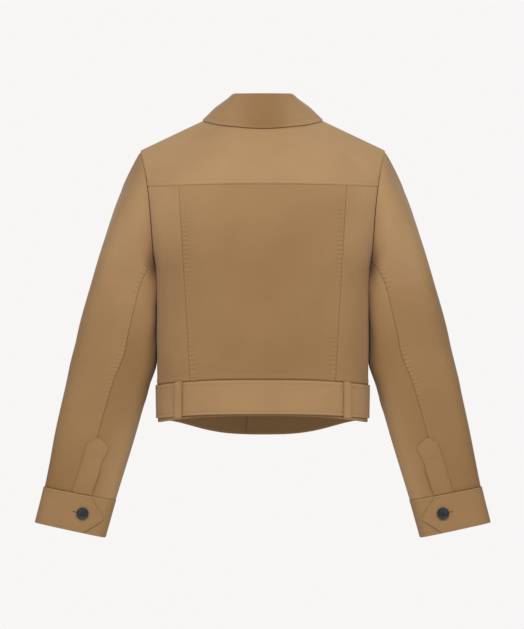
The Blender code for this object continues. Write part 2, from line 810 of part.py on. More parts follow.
def make_cuff_button(side, hand):
    def on_cuff(degrees, height):
        return ring_point(cuff_place(height), degrees, cuff_lift(degrees))

    seat = on_cuff(CUFF_BUTTON_DEG, CUFF_BUTTON_HEIGHT)
    aside = on_cuff(CUFF_BUTTON_DEG + 4, CUFF_BUTTON_HEIGHT) - on_cuff(CUFF_BUTTON_DEG - 4, CUFF_BUTTON_HEIGHT)
    above = on_cuff(CUFF_BUTTON_DEG, CUFF_BUTTON_HEIGHT + 0.1) - seat
    direction = aside.cross(above).normalized()
    make_button(f"button_cuff_{hand}", mirrored(seat, side), mirrored(direction, side))


def main():
    make_yoke()
    make_back_centre()
    make_waistband_back()
    make_belt()
    make_collar_stand()
    make_collar_fall()
    curves = {1: armhole_curve(1), -1: armhole_curve(-1)}
    for side, hand in ((1, "left"), (-1, "right")):
        make_back_side(side, f"back_side_{hand}")
        make_front(side, f"front_{hand}")
        make_waistband_front(side, f"waistband_{hand}")
        make_loop(side, f"belt_loop_{hand}")
        make_sleeve(curves, side, hand)
        make_cuff(side, hand)
        make_vent(side, hand)
        make_cuff_button(side, hand)
    make_front_buttons()
    make_belt_button()


clear_scene()
PARTS = bpy.data.collections.new("cropped_jacket")
bpy.context.scene.collection.children.link(PARTS)
main()
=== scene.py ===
# %% [markdown]
# This lesson dresses a cropped jacket of tan cotton twill. It is seen from behind, filled out as if
# it were worn, with nobody in it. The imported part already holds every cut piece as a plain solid,
# so the first step only loads that part as a fixed frame. Everything made below goes where the
# frame says, in metres, with +Z up, the front of the jacket towards -Y and the wearer's left at +X.

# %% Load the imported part
import math
from bisect import bisect_right
from collections import namedtuple
from functools import lru_cache

import bmesh
import bpy
import numpy as np
from mathutils import Matrix, Vector


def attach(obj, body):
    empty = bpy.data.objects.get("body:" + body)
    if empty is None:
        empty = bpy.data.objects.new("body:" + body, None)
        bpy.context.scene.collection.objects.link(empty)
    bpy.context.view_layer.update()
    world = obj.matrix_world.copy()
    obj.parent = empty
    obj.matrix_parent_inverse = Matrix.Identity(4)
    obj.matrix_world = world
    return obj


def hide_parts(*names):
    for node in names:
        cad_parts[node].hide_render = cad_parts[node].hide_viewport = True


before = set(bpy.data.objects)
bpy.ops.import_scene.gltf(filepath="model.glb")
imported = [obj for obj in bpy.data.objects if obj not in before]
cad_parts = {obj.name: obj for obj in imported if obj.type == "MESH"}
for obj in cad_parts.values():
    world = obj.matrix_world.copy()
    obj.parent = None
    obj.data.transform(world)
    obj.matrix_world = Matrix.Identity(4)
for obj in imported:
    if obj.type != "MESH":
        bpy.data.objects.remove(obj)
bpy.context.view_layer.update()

bpy.ops.object.select_all(action="DESELECT")

# %% [markdown]
# A pattern cutter works from a few body sizes, and so does this lesson. The torso is a stack of
# rounded oblongs given by a short table, and a smooth curve through each column fills in the heights
# between the rows. One helper makes such a curve, because every later table needs it too.

# %% A smooth curve through a table
CLOTH = 0.0016
DOUBLE_CLOTH = 0.0022
SEAM = 0.0003
UP = Vector((0, 0, 1))


def mix(a, b, t):
    return a + (b - a) * t


def ease(t):
    """0 below 0, 1 above 1, and smooth between. It takes a number or an array."""
    t = np.clip(t, 0.0, 1.0)
    return t * t * (3 - 2 * t)


def power(value, exponent):
    return math.copysign(abs(value) ** exponent, value)


def smooth(keys, values):
    """A function that runs smoothly through the values, which are numbers or points."""
    last = len(keys) - 1
    slopes = []
    for i in range(last + 1):
        before, after = max(i - 1, 0), min(i + 1, last)
        slopes.append((values[after] - values[before]) / (keys[after] - keys[before]))

    def at(place):
        place = min(max(place, keys[0]), keys[-1])
        low = min(max(bisect_right(keys, place) - 1, 0), last - 1)
        step = keys[low + 1] - keys[low]
        t = (place - keys[low]) / step
        start = values[low] * (1 + 2 * t) + slopes[low] * (step * t)
        end = values[low + 1] * (3 - 2 * t) - slopes[low + 1] * (step * (1 - t))
        return start * (1 - t) ** 2 + end * t**2

    return at


def columns(rows):
    """One smooth curve for each column after the first, along the first."""
    keys = [row[0] for row in rows]
    return [smooth(keys, [row[i] for row in rows]) for i in range(1, len(rows[0]))]


Section = namedtuple("Section", "height half_width back_depth front_depth")
TORSO = [
    Section(-0.560, 0.1695, 0.097, 0.101),
    Section(-0.500, 0.1695, 0.097, 0.101),
    Section(-0.440, 0.1703, 0.098, 0.103),
    Section(-0.380, 0.1706, 0.101, 0.108),
    Section(-0.320, 0.1700, 0.106, 0.113),
    Section(-0.2606, 0.1720, 0.111, 0.116),
    Section(-0.205, 0.1890, 0.114, 0.115),
    Section(-0.140, 0.2070, 0.115, 0.108),
    Section(-0.065, 0.2260, 0.112, 0.093),
    Section(0.020, 0.2320, 0.110, 0.082),
]
half_width, back_depth, front_depth = columns(TORSO)
ROUNDNESS = 3.0
HALF_SEAM_ANGLE = (SEAM / 2 / TORSO[0].back_depth) ** (ROUNDNESS / 2)
print("half width at the underarm:", round(half_width(-0.2606), 4))

# %% [markdown]
# The cloth of the body lies on one surface, whatever seams cross it. Working it out once keeps
# neighbouring panels flush. The shoulders roll over from the back to the front, so the depth
# of the oblong shrinks to nothing along the shoulder line.

# %% The body's surface
NECK_HALF = 0.064
NECK_DROP_BACK = 0.020
NECK_DROP_FRONT = 0.070
SHOULDER_SLOPE = 0.474
SHOULDER_END = 0.198
SHOULDER_DROP = 0.00003
SHOULDER_BLEND = 0.006
ROLL_HEIGHT = 0.135
ROLL_SPREAD = 2.2
ROLL_SOFTNESS = 0.8


def ridge(x):
    """Height of the shoulder line, rounded over inside the neck."""
    x = abs(x)
    if x >= NECK_HALF:
        return -SHOULDER_SLOPE * (x - NECK_HALF)
    return 0.5 * SHOULDER_SLOPE * NECK_HALF * (1 - (x / NECK_HALF) ** 2)


def shoulder_roll(x, height):
    """0 on the shoulder line and 1 on the chest and back below it."""
    share = min(max((ridge(x) - height) / ROLL_HEIGHT, 0.0), 1.0)
    return (1 - (1 - share) ** ROLL_SPREAD) ** ROLL_SOFTNESS


def torso(facing, angle, height):
    """A point of the cloth. Facing is 1 behind and -1 in front, and angle is 0 in the middle."""
    x = half_width(height) * power(math.sin(angle), 2 / ROUNDNESS)
    depth = back_depth(height) if facing > 0 else front_depth(height)
    depth *= power(math.cos(angle), 2 / ROUNDNESS)
    return Vector((x, facing * depth * shoulder_roll(x, height), height))


def torso_angle(x, height):
    share = min(abs(x) / half_width(height), 1.0)
    return math.copysign(math.asin(share ** (ROUNDNESS / 2)), x)


def torso_normal(facing, angle, height):
    """Away from the body. Along the shoulder seam it has no part backwards or forwards."""
    turn, rise = 0.001, 0.00004
    aside = torso(facing, angle + turn, height) - torso(facing, angle - turn, height)
    up = torso(facing, angle, height + rise) - torso(facing, angle, height - rise)
    away = (aside.cross(up) * -facing).normalized()
    x = torso(facing, angle, height).x
    if abs(x) < NECK_HALF:
        return away
    level = Vector((math.copysign(SHOULDER_SLOPE, x), 0, 1)).normalized()
    return mix(level, away, float(ease((ridge(x) - height) / SHOULDER_BLEND))).normalized()


def raised(facing, angle, height, lift):
    return torso(facing, angle, height) + torso_normal(facing, angle, height) * lift


def mirrored(point, side):
    return Vector((point.x * side, point.y, point.z))


print("middle of the back at chest height:", torso(1, 0.0, -0.205))

# %% [markdown]
# Panels end at seams. The armhole has its own small table, the waist rises a little behind and dips
# in front, and the yoke seam falls slightly towards the arms. These short functions say where.

# %% Where the seams run
Armhole = namedtuple("Armhole", "height back_x front_x")
ARMHOLE = [
    Armhole(-0.2606, 0.1720, 0.1720),
    Armhole(-0.2400, 0.1745, 0.1690),
    Armhole(-0.2050, 0.1765, 0.1660),
    Armhole(-0.1600, 0.1795, 0.1655),
    Armhole(-0.1200, 0.1845, 0.1720),
    Armhole(-0.0850, 0.1920, 0.1850),
    Armhole(-0.0636, 0.1980, 0.1980),
]
armhole_back, armhole_front = columns(ARMHOLE)
UNDERARM = ARMHOLE[0].height
SHOULDER_TIP = ARMHOLE[-1].height
YOKE_SEAM = -0.124
YOKE_SEAM_FALL = 0.0025
PRINCESS_TOP = 0.133
PRINCESS_BOTTOM = 0.1155
WAIST_SEAM = -0.4425
HEM = -0.503
HEM_RISE_BACK = 0.003
WAIST_RISE_BACK = 0.010
WAIST_DIP_FRONT = 0.0258
DIP_SHARPNESS = 4.2


def edge_angle(facing, height):
    """Where a body panel ends: at the side seam, and above the underarm at the armhole."""
    if height <= UNDERARM:
        return math.pi / 2 - HALF_SEAM_ANGLE
    x = armhole_back(height) if facing > 0 else armhole_front(height)
    return torso_angle(x, height) - HALF_SEAM_ANGLE


def waist_shift(facing, angle):
    if facing > 0:
        return WAIST_RISE_BACK * math.cos(angle) ** 2
    return -WAIST_DIP_FRONT * abs(math.cos(angle)) ** DIP_SHARPNESS


def yoke_seam(x):
    return YOKE_SEAM - YOKE_SEAM_FALL * (x / SHOULDER_END) ** 2


def neck_line(facing, x):
    """Height of the neck seam inside the neck, and of the shoulder line outside it."""
    if abs(x) >= NECK_HALF:
        return ridge(x)
    inside = 1 - (x / NECK_HALF) ** 2
    if facing > 0:
        return -NECK_DROP_BACK * inside
    return -NECK_DROP_FRONT * math.sqrt(inside)


def princess(height):
    """How far from the middle the long back seam lies."""
    share = (height - WAIST_SEAM) / (YOKE_SEAM - WAIST_SEAM)
    return mix(PRINCESS_BOTTOM, PRINCESS_TOP, share)


def back_height(x, level, v):
    bottom = WAIST_SEAM + waist_shift(1, torso_angle(x, level)) + SEAM / 2
    return mix(bottom, yoke_seam(x) - SEAM / 2, v)


def closer_above(v):
    return v * (1.5 - 0.5 * v)


print("yoke seam at the armhole:", round(yoke_seam(SHOULDER_END), 4))

# %% [markdown]
# Tan cotton twill is matt, with a fine steep diagonal in its weave, yarns of slightly uneven thickness,
# soft clouds of lighter and darker dye, and paler wear where an edge is rubbed. Image textures could
# show this, but nodes give it at any distance. The weave reads the cloth's own UV map, which is
# in metres along the grain. A number that each panel keeps at every point holds that wear together with
# painted light and shade. It tints the cloth darker and more saturated where it paints shade, and paler
# where it paints light.

# %% The cloth, thread and slit materials
TWILL_PITCH = 0.0011
TWILL_STEEPNESS = 0.5
TWILL_WANDER = 0.6
WEAVE_STRENGTH = 0.35
WEAVE_HEIGHT = 0.00022
YARN_SCALE = 1500
YARN_SHARE = 0.45
CLOUD_SCALE = 7
SPECK_SCALE = 190
SPECK_SHARE = 0.15
DYE_LOW = 0.36
DYE_HIGH = 0.64
PLY_SCALE = 2600
PLY_DARK = 0.82
TAN_SHADE = (0.340, 0.196, 0.084, 1)
TAN_LIGHT = (0.386, 0.228, 0.102, 1)
# Painted shade and painted light: the cloth is tinted darker and more saturated towards the first, and
# paler, as under a sheen, towards the second.
PAINTED_SHADE_TINT = (0.80, 0.765, 0.69, 1)
PAINTED_LIGHT_TINT = (1.20, 1.250, 1.37, 1)
WEAR_AND_PAINTED_SHADE_ATTRIBUTE = "edge_wear_and_painted_shade"


def join(tree, start, output, end, socket):
    tree.links.new(start.outputs[output], end.inputs[socket])


def add(tree, kind, **values):
    """A new node with its properties set, and its sockets where a name is a socket's."""
    node = tree.nodes.new(kind)
    for name, value in values.items():
        if hasattr(node, name):
            setattr(node, name, value)
        else:
            node.inputs[name.replace("_", " ")].default_value = value
    return node


def new_material(name, **sockets):
    """A material with its node tree and its shader, with plain values for the shader's sockets."""
    material = bpy.data.materials.new(name)
    material.use_nodes = True
    tree = material.node_tree
    shader = tree.nodes["Principled BSDF"]
    for socket, value in sockets.items():
        shader.inputs[socket.replace("_", " ")].default_value = value
    return material, tree, shader


def noise(tree, place, output, scale, detail):
    node = add(tree, "ShaderNodeTexNoise", Scale=scale, Detail=detail)
    join(tree, place, output, node, "Vector")
    return node


def blend(tree, share, first, second):
    """A number that is mostly the first node's and partly the second's."""
    node = add(tree, "ShaderNodeMix", data_type="FLOAT", Factor=share)
    join(tree, first, "Fac", node, "A")
    join(tree, second, "Fac", node, "B")
    return node


def between(tree, low, high, source, output):
    """A colour between two others, chosen by another node."""
    node = add(tree, "ShaderNodeMix", data_type="RGBA")
    node.inputs[6].default_value = low
    node.inputs[7].default_value = high
    join(tree, source, output, node, "Factor")
    return node


def twill_cloth(name, shade, light):
    material, tree, shader = new_material(
        name, Roughness=0.86, Specular_IOR_Level=0.25, Sheen_Weight=0.10, Sheen_Roughness=0.45
    )
    place = add(tree, "ShaderNodeTexCoord")
    grain = add(tree, "ShaderNodeMapping", Scale=(1, TWILL_STEEPNESS, 1))
    join(tree, place, "UV", grain, "Vector")
    twill = add(tree, "ShaderNodeTexWave", bands_direction="DIAGONAL", Scale=math.tau / 10 / TWILL_PITCH)
    twill.inputs["Distortion"].default_value = TWILL_WANDER
    join(tree, grain, "Vector", twill, "Vector")
    yarn = noise(tree, place, "UV", YARN_SCALE, 2.0)
    cloud = noise(tree, place, "Object", CLOUD_SCALE, 3.0)
    speck = noise(tree, place, "Object", SPECK_SCALE, 2.0)
    spread_out = add(tree, "ShaderNodeMapRange", From_Min=DYE_LOW, From_Max=DYE_HIGH)
    join(tree, blend(tree, SPECK_SHARE, cloud, speck), "Result", spread_out, "Value")
    dye = between(tree, shade, light, spread_out, "Result")
    # This attribute holds wear together with painted light and shade, and tints the dye by it.
    wear_and_painted_shade = add(tree, "ShaderNodeAttribute", attribute_name=WEAR_AND_PAINTED_SHADE_ATTRIBUTE)
    rub = add(tree, "ShaderNodeMapRange", From_Min=-1.0, From_Max=1.0)
    join(tree, wear_and_painted_shade, "Fac", rub, "Value")
    painted_tint = between(tree, PAINTED_SHADE_TINT, PAINTED_LIGHT_TINT, rub, "Result")
    dye_with_painted_shade = add(tree, "ShaderNodeVectorMath", operation="MULTIPLY")
    join(tree, dye, 2, dye_with_painted_shade, 0)
    join(tree, painted_tint, 2, dye_with_painted_shade, 1)
    join(tree, dye_with_painted_shade, "Vector", shader, "Base Color")
    bump = add(tree, "ShaderNodeBump", Strength=WEAVE_STRENGTH, Distance=WEAVE_HEIGHT)
    join(tree, blend(tree, YARN_SHARE, twill, yarn), "Result", bump, "Height")
    join(tree, bump, "Normal", shader, "Normal")
    return material


def spun_thread(name, colour):
    """Thread is a shade lighter than the cloth, with a fine twist across it."""
    material, tree, shader = new_material(name, Roughness=0.6)
    ply = noise(tree, add(tree, "ShaderNodeTexCoord"), "Object", PLY_SCALE, 2.0)
    dark = tuple(PLY_DARK * part for part in colour[:3]) + (1,)
    join(tree, between(tree, dark, colour, ply, "Fac"), 2, shader, "Base Color")
    return material


cloth_finish = twill_cloth("tan_twill", TAN_SHADE, TAN_LIGHT)
thread_finish = spun_thread("tan_thread", (0.400, 0.246, 0.120, 1))
dark_thread_finish = spun_thread("dark_thread", (0.012, 0.013, 0.018, 1))
# The buttonhole slit is a dark sheet of painted shadow.
slit_painted_shadow = spun_thread("buttonhole_shadow", (0.030, 0.017, 0.008, 1))
print("finishes:", cloth_finish.name, thread_finish.name, slit_painted_shadow.name)

# %% [markdown]
# Real topstitching is a row of short thread humps that dive into the cloth at both ends. One stitch is
# modelled by hand from a thin bar: its long edges are cut in three, its ends are made thinner
# and pushed down. Every seam below copies this one stitch, so it has only a few dozen faces.

# %% Model one stitch
STITCH_LENGTH = 0.0027
STITCH_PITCH = 0.0033
THREAD_RADIUS = 0.00028
STITCH_DIVE = 0.00030
STITCH_END = 0.4
STITCH_THIN = 0.55


def select_in_edit(obj, kind, test):
    """Selects only the vertices, edges or faces of the mesh in edit mode that pass the test."""
    bpy.ops.mesh.select_all(action="DESELECT")
    mesh = bmesh.from_edit_mesh(obj.data)
    for item in getattr(mesh, kind):
        if test(item):
            item.select_set(True)
    bmesh.update_edit_mesh(obj.data)


bpy.ops.mesh.primitive_cylinder_add(
    vertices=6, radius=THREAD_RADIUS, depth=STITCH_LENGTH, rotation=(0, math.pi / 2, 0)
)
stitch = bpy.context.object
bpy.ops.object.transform_apply(location=True, rotation=True, scale=True)
bpy.ops.object.mode_set(mode="EDIT")
select_in_edit(stitch, "edges", lambda e: abs(e.verts[0].co.x - e.verts[1].co.x) > STITCH_LENGTH / 2)
bpy.ops.mesh.subdivide(number_cuts=2)
select_in_edit(stitch, "verts", lambda v: abs(v.co.x) > STITCH_LENGTH * STITCH_END)
bpy.ops.transform.resize(value=(1, STITCH_THIN, STITCH_THIN))
bpy.ops.transform.translate(value=(0, 0, -STITCH_DIVE))
bpy.ops.object.mode_set(mode="OBJECT")
stitch_points = np.array([vert.co[:] for vert in stitch.data.vertices])
stitch_faces = [tuple(face.vertices) for face in stitch.data.polygons]
bpy.data.objects.remove(stitch)
print("one stitch:", len(stitch_faces), "faces")

# %% [markdown]
# Copies of the stitch are joined into one mesh for each panel. Each copy is turned so that it runs along
# the row and lies on the cloth, and it is scaled for a bar or a buttonhole where one is needed.

# %% Sew a row of stitches
STITCH_LIFT = 0.00012


def new_piece(name, mesh, finish):
    mesh.materials.append(finish)
    piece = bpy.data.objects.new(name, mesh)
    bpy.context.scene.collection.objects.link(piece)
    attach(piece, "root")
    return piece


def row_of_stitches(points, aways, start=0.0, end=0.0, pitch=STITCH_PITCH):
    """The middle, direction and outward side of each stitch along a line."""
    points, aways = np.array(points), np.array(aways)
    lengths = np.concatenate(([0.0], np.cumsum(np.linalg.norm(np.diff(points, axis=0), axis=1))))
    first, last = start, lengths[-1] - end
    count = int((last - first) / pitch)
    if count < 1:
        return []
    middles = first + (last - first) * (np.arange(count) + 0.5) / count

    def on_line(values, at):
        return np.array([np.interp(at, lengths, values[:, i]) for i in range(3)])

    frames = []
    for at in middles:
        along = on_line(points, at + pitch / 3) - on_line(points, at - pitch / 3)
        frames.append((on_line(points, at), along, on_line(aways, at)))
    return frames


def sew(name, frames, scale=(1.0, 1.0, 1.0), finish=thread_finish):
    """Joins one copy of the stitch for each frame into a piece."""
    corners, faces = [], []
    for middle, along, away in frames:
        along = along / np.linalg.norm(along)
        aside = np.cross(away, along)
        aside /= np.linalg.norm(aside)
        away = np.cross(along, aside)
        turn = np.stack([along, aside, away])
        base = len(corners) * len(stitch_points)
        corners.append((stitch_points * scale) @ turn + middle + away * STITCH_LIFT)
        faces.extend(tuple(base + i for i in face) for face in stitch_faces)
    mesh = bpy.data.meshes.new(name)
    mesh.from_pydata(np.concatenate(corners).tolist(), [], faces)
    mesh.shade_smooth()
    piece = new_piece(name, mesh, finish)
    return piece


print("stitches a metre:", round(1 / STITCH_PITCH))

# %% [markdown]
# Each cut piece is a thin closed shell on the surface of its solid. A grid that is closer along its edges
# carries the small forms that make sewn cloth look sewn: a seam sinks in, the layers pressed
# under one side lift it, a row of stitches pulls a shallow channel with puckers, and a folded edge is
# rounded. Soft creases are listed as troughs and ridges in the panel's own sizes. A panel also
# has a painted light and shade, four tones from its bottom to its top, one for its middle and one to a
# side, that stand in for the way the studio light falls on it.

# %% The relief of sewn cloth
# An edge's rub is wear and painted highlight when positive, and painted shadow when negative.
Edge = namedtuple("Edge", "kind bulk pucker sink roll rub", defaults=(0.0, 0.0, 0.0004, 0.0022, 0.35))
Row = namedtuple("Row", "edge distance start end", defaults=(0.0, 0.0))
Uneven = namedtuple("Uneven", "share length start")
Crease = namedtuple("Crease", "across up turn length width depth")
# A panel's painted light and shade: tones at four heights, one for its middle and one to a side.
PaintedShade = namedtuple("PaintedShade", "bottom lower upper top middle side width", defaults=(0.0, 0.0, 0.055))
CLOSE_TO_EDGE = {
    "seam": (0, 0.0007, 0.0015, 0.0025, 0.0037, 0.0050, 0.0065, 0.0080, 0.0105, 0.0145),
    "fold": (0, 0.0001, 0.0004, 0.0009, 0.0020, 0.0035, 0.0050, 0.0065, 0.0085, 0.0120),
}
SEAM_ROUND = 0.0026
BULK_WIDTH = 0.006
BULK_SLOPE = 0.004
CHANNEL_SINK = 0.00022
CHANNEL_WIDTH = 0.0013
PUCKER_PITCH = 0.0072
# Puckers are painted lighter on their ridges and darker in their troughs.
PUCKER_PAINTED_LIGHT = 1200
PUCKER_CENTRE = 0.7
PUCKER_REACH = 0.9
PUCKER_MEAN = 0.55
PUCKER_SWING = 0.45
PUCKER_SWING_LENGTH = 0.031
UNEVEN_PUCKERS = [Uneven(1.9, 0.041, 0.0), Uneven(0.8, 0.017, 2.0)]
RUB_WIDTH = 0.0022
RUB_START = 0.002
RUB_END = 0.003
# Painted shade down in a seam and along a row of stitches.
SEAM_PAINTED_SHADE = 0.18
SEAM_SHADE_WIDTH = 0.0012
ROW_PAINTED_SHADE = 0.20
ROW_SHADE_WIDTH = 0.0010
FOLD_SHARE = 0.92
EVEN = PaintedShade(0.0, 0.0, 0.0, 0.0)
SHADE_SHARES = (0.0, 0.60, 0.78, 1.0)


def bell(distance, width):
    return np.exp(-((distance / width) ** 2))


def edge_relief(edge, row, near):
    """How far the cloth lifts close to an edge, at a distance from it."""
    lift = np.zeros_like(near)
    if edge.kind == "seam":
        lift -= edge.sink * (1 - ease(near / edge.roll))
    width = row.distance if row else BULK_WIDTH
    lift += edge.bulk * ease(near / SEAM_ROUND) * (1 - ease((near - width) / BULK_SLOPE))
    if row:
        lift -= CHANNEL_SINK * bell(near - width, CHANNEL_WIDTH)
    return lift


def edge_puckers(edge, row, near, run):
    """Small uneven waves along a sewn edge."""
    width = row.distance if row else BULK_WIDTH
    uneven = sum(part.share * np.sin(run / part.length + part.start) for part in UNEVEN_PUCKERS)
    swing = PUCKER_MEAN + PUCKER_SWING * np.sin(run / PUCKER_SWING_LENGTH + 1)
    wave = np.sin(run / PUCKER_PITCH * math.tau + uneven) * swing
    return edge.pucker * wave * bell(near - width * PUCKER_CENTRE, width * PUCKER_REACH)


def edge_wear_and_painted_shade(edge, row, near):
    """Wear and painted highlight on rubbed folds and pressed ridges, painted shadow by a negative rub,
    painted shade in seams and channels.
    """
    width = row.distance if row else BULK_WIDTH
    if edge.kind == "fold":
        wear_and_painted_shade = edge.rub * bell(near, RUB_WIDTH)
    else:
        wear_and_painted_shade = -SEAM_PAINTED_SHADE * bell(near, SEAM_SHADE_WIDTH)
        if edge.bulk:
            wear_and_painted_shade += edge.rub * ease(near / RUB_START) * (1 - ease((near - width) / RUB_END))
    if row:
        wear_and_painted_shade = wear_and_painted_shade - ROW_PAINTED_SHADE * bell(near - row.distance, ROW_SHADE_WIDTH)
    return wear_and_painted_shade


def crease_relief(creases, across, up):
    lift = np.zeros_like(across)
    for crease in creases:
        turn = math.radians(crease.turn)
        right, above = across - crease.across, up - crease.up
        along = right * math.cos(turn) + above * math.sin(turn)
        off = above * math.cos(turn) - right * math.sin(turn)
        lift += crease.depth * bell(off, crease.width) * np.exp(-((2 * along / crease.length) ** 4))
    return lift


def painted_panel_shade(shade, across, heights):
    """Painted light and shade for the studio light: paler or darker by share of the height, at the middle
    and to one side.
    """
    rise = (heights - heights.min()) / (heights.max() - heights.min())
    tone = np.interp(rise, SHADE_SHARES, shade[: len(SHADE_SHARES)])
    return tone + shade.middle * bell(across, shade.width) + shade.side * rise * across / across[:, -1:]


print("edge kinds:", list(CLOSE_TO_EDGE))

# %% [markdown]
# The panel itself comes next. It measures its own cut as it is laid: widths and lengths along the grid
# give the flat size that a cutter would chalk, and the same distances become the UV map. A strip with a
# pointed end takes the middle one of its measures, because its end slants.

# %% Lay a panel of cloth
COARSE = 0.005
PUCKER_STEP = 0.0022
MEASURE_POINTS = 161
EDGE_REACH = 0.45
PROBE = 0.001


def around(left, right, bottom, top):
    """One thing for each edge of a panel."""
    return {"left": left, "right": right, "bottom": bottom, "top": top}


def lengths_along(points):
    steps = np.linalg.norm(np.diff(points, axis=1), axis=2)
    return np.concatenate((np.zeros((len(points), 1)), np.cumsum(steps, axis=1)), axis=1)


def spread(curve, first, last, step):
    """Shares from 0 to 1 that lie close together near the two edges."""
    shares = np.linspace(0, 1, MEASURE_POINTS)
    lengths = lengths_along(np.array([[curve(t) for t in shares]]))[0]
    total = lengths[-1]
    start = [d for d in CLOSE_TO_EDGE[first.kind] if d < EDGE_REACH * total]
    end = [total - d for d in reversed(CLOSE_TO_EDGE[last.kind]) if d < EDGE_REACH * total]
    count = max(2, round((end[0] - start[-1]) / step) + 1)
    middle = np.linspace(start[-1], end[0], count)[1:-1]
    return np.interp([*start, *middle, *end], lengths, shares)


class Panel:
    """One cut piece on a surface of two shares from 0 to 1 and a lift off it."""

    def __init__(
        self, name, surface, edges, rows=(), creases=(), thickness=CLOTH, step=COARSE, step_up=None,
        shade=EVEN, pointed=None,
    ):
        self.name, self.edges, self.rows, self.thickness, self.shade = name, edges, rows, thickness, shade
        us = spread(lambda t: surface(t, 0.5, 0.0), edges["left"], edges["right"], step)
        vs = spread(lambda t: surface(0.5, t, 0.0), edges["bottom"], edges["top"], step_up or step)
        flat = np.array([[surface(u, v, 0.0) for u in us] for v in vs])
        self.away = np.array([[surface(u, v, PROBE) for u in us] for v in vs]) - flat
        self.away /= np.linalg.norm(self.away, axis=2, keepdims=True)
        left = lengths_along(flat)
        bottom = lengths_along(flat.transpose(1, 0, 2)).T
        self.width = float(np.median(left[:, -1]) if pointed == "top" else left[:, -1].max())
        self.height = float(np.median(bottom[-1]) if pointed == "right" else bottom[-1].max())
        self.near = around(left, left[:, -1:] - left, bottom, bottom[-1:] - bottom)
        self.run = around(bottom, bottom, left, left)
        self.across, self.up = left - left[:, -1:] / 2, bottom
        self.shape_cloth(flat, creases)

    def shape_cloth(self, flat, creases):
        lift = crease_relief(creases, self.across, self.up)
        # Painted light and shade over the whole panel, by height, middle and side.
        self.wear_and_painted_shade = painted_panel_shade(self.shade, self.across, flat[..., 2])
        rounded = np.zeros_like(lift)
        for side, edge in self.edges.items():
            row = next((row for row in self.rows if row.edge == side), None)
            puckers = edge_puckers(edge, row, self.near[side], self.run[side])
            lift += edge_relief(edge, row, self.near[side]) + puckers
            # Wear, painted shade in seams and channels, and painted light and shade on the puckers.
            self.wear_and_painted_shade += edge_wear_and_painted_shade(edge, row, self.near[side]) + PUCKER_PAINTED_LIGHT * puckers
            if edge.kind == "fold":
                inside = np.clip(1 - 2 * self.near[side] / self.thickness, 0, 1)
                curve = FOLD_SHARE * self.thickness / 2 * (1 - np.sqrt(1 - inside**2))
                rounded = np.maximum(rounded, curve)
        self.outer = flat + self.away * (lift - rounded)[..., None]
        self.inner = flat + self.away * (lift - self.thickness + rounded)[..., None]

    def faces(self):
        rows, cols = self.wear_and_painted_shade.shape
        index = np.arange(rows * cols).reshape(rows, cols)
        quads = [
            (index[j, i], index[j, i + 1], index[j + 1, i + 1], index[j + 1, i])
            for j in range(rows - 1)
            for i in range(cols - 1)
        ]
        below = rows * cols
        rim = [*index[0, :-1], *index[:-1, -1], *index[-1, :0:-1], *index[:0:-1, 0]]
        found = [tuple(map(int, quad)) for quad in quads]
        found += [tuple(int(k) + below for k in reversed(quad)) for quad in quads]
        for a, b in zip(rim, rim[1:] + rim[:1]):
            found.append((int(b), int(a), int(a) + below, int(b) + below))
        aside, up = self.outer[0, 1] - self.outer[0, 0], self.outer[1, 0] - self.outer[0, 0]
        if np.dot(np.cross(aside, up), self.away[0, 0]) < 0:
            found = [tuple(reversed(face)) for face in found]
        return found

    def area(self):
        aside, up = np.diff(self.outer, axis=1)[:-1], np.diff(self.outer, axis=0)[:, :-1]
        return float(np.linalg.norm(np.cross(aside, up), axis=2).sum())

    def make(self, node):
        """The shell and its stitching, as pieces that stand for the CAD node."""
        mesh = bpy.data.meshes.new(self.name)
        corners = np.concatenate((self.outer.reshape(-1, 3), self.inner.reshape(-1, 3)))
        mesh.from_pydata(corners.tolist(), [], self.faces())
        uv = np.tile(np.stack((self.across, self.up), axis=2).reshape(-1, 2), (2, 1))
        loops = np.zeros(len(mesh.loops), dtype=np.int32)
        mesh.loops.foreach_get("vertex_index", loops)
        mesh.uv_layers.new(name="grain").data.foreach_set("uv", uv[loops].ravel())
        wear_and_painted_shade = mesh.attributes.new(WEAR_AND_PAINTED_SHADE_ATTRIBUTE, "FLOAT", "POINT")
        wear_and_painted_shade.data.foreach_set("value", np.tile(self.wear_and_painted_shade.ravel(), 2).clip(-1, 1))
        mesh.shade_smooth()
        piece = new_piece(self.name, mesh, cloth_finish)
        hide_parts(node)
        frames = [f for row in self.rows for f in row_of_stitches(*self.line(row), row.start, row.end)]
        sewn = [sew(f"{node}_stitching", frames)] if frames else []
        area = min(self.area(), self.width * self.height)
        print(f"{self.name}: cut {self.width:.3f} x {self.height:.3f} m, {len(frames)} stitches")

    def line(self, row):
        """Points and outward directions along a line at a distance from one edge."""
        upright = row.edge in ("left", "right")
        near, outer, away = self.near[row.edge], self.outer, self.away
        if not upright:
            near, outer, away = near.T, outer.transpose(1, 0, 2), away.transpose(1, 0, 2)
        points, aways = [], []
        for distances, places, ways in zip(near, outer, away):
            order = np.argsort(distances)
            points.append([np.interp(row.distance, distances[order], places[order, i]) for i in range(3)])
            aways.append([np.interp(row.distance, distances[order], ways[order, i]) for i in range(3)])
        return points, aways


def lay(node, surface, edges, rests_on=(), **cut):
    """Makes the panel of one CAD node."""
    Panel(f"{node}_cloth", surface, edges, **cut).make(node)


# %% [markdown]
# The yoke is one piece across both shoulders. Its lower edge carries the layers of the seam, pressed up
# and topstitched, so it stands a little higher than the panels below it.

# %% The yoke
SEWN = Edge("seam")
PRESSED = Edge("seam", 0.0006, 0.00008)
FOLDED = Edge("fold", 0.0, 0.00006)
YOKE_ROW = 0.0068


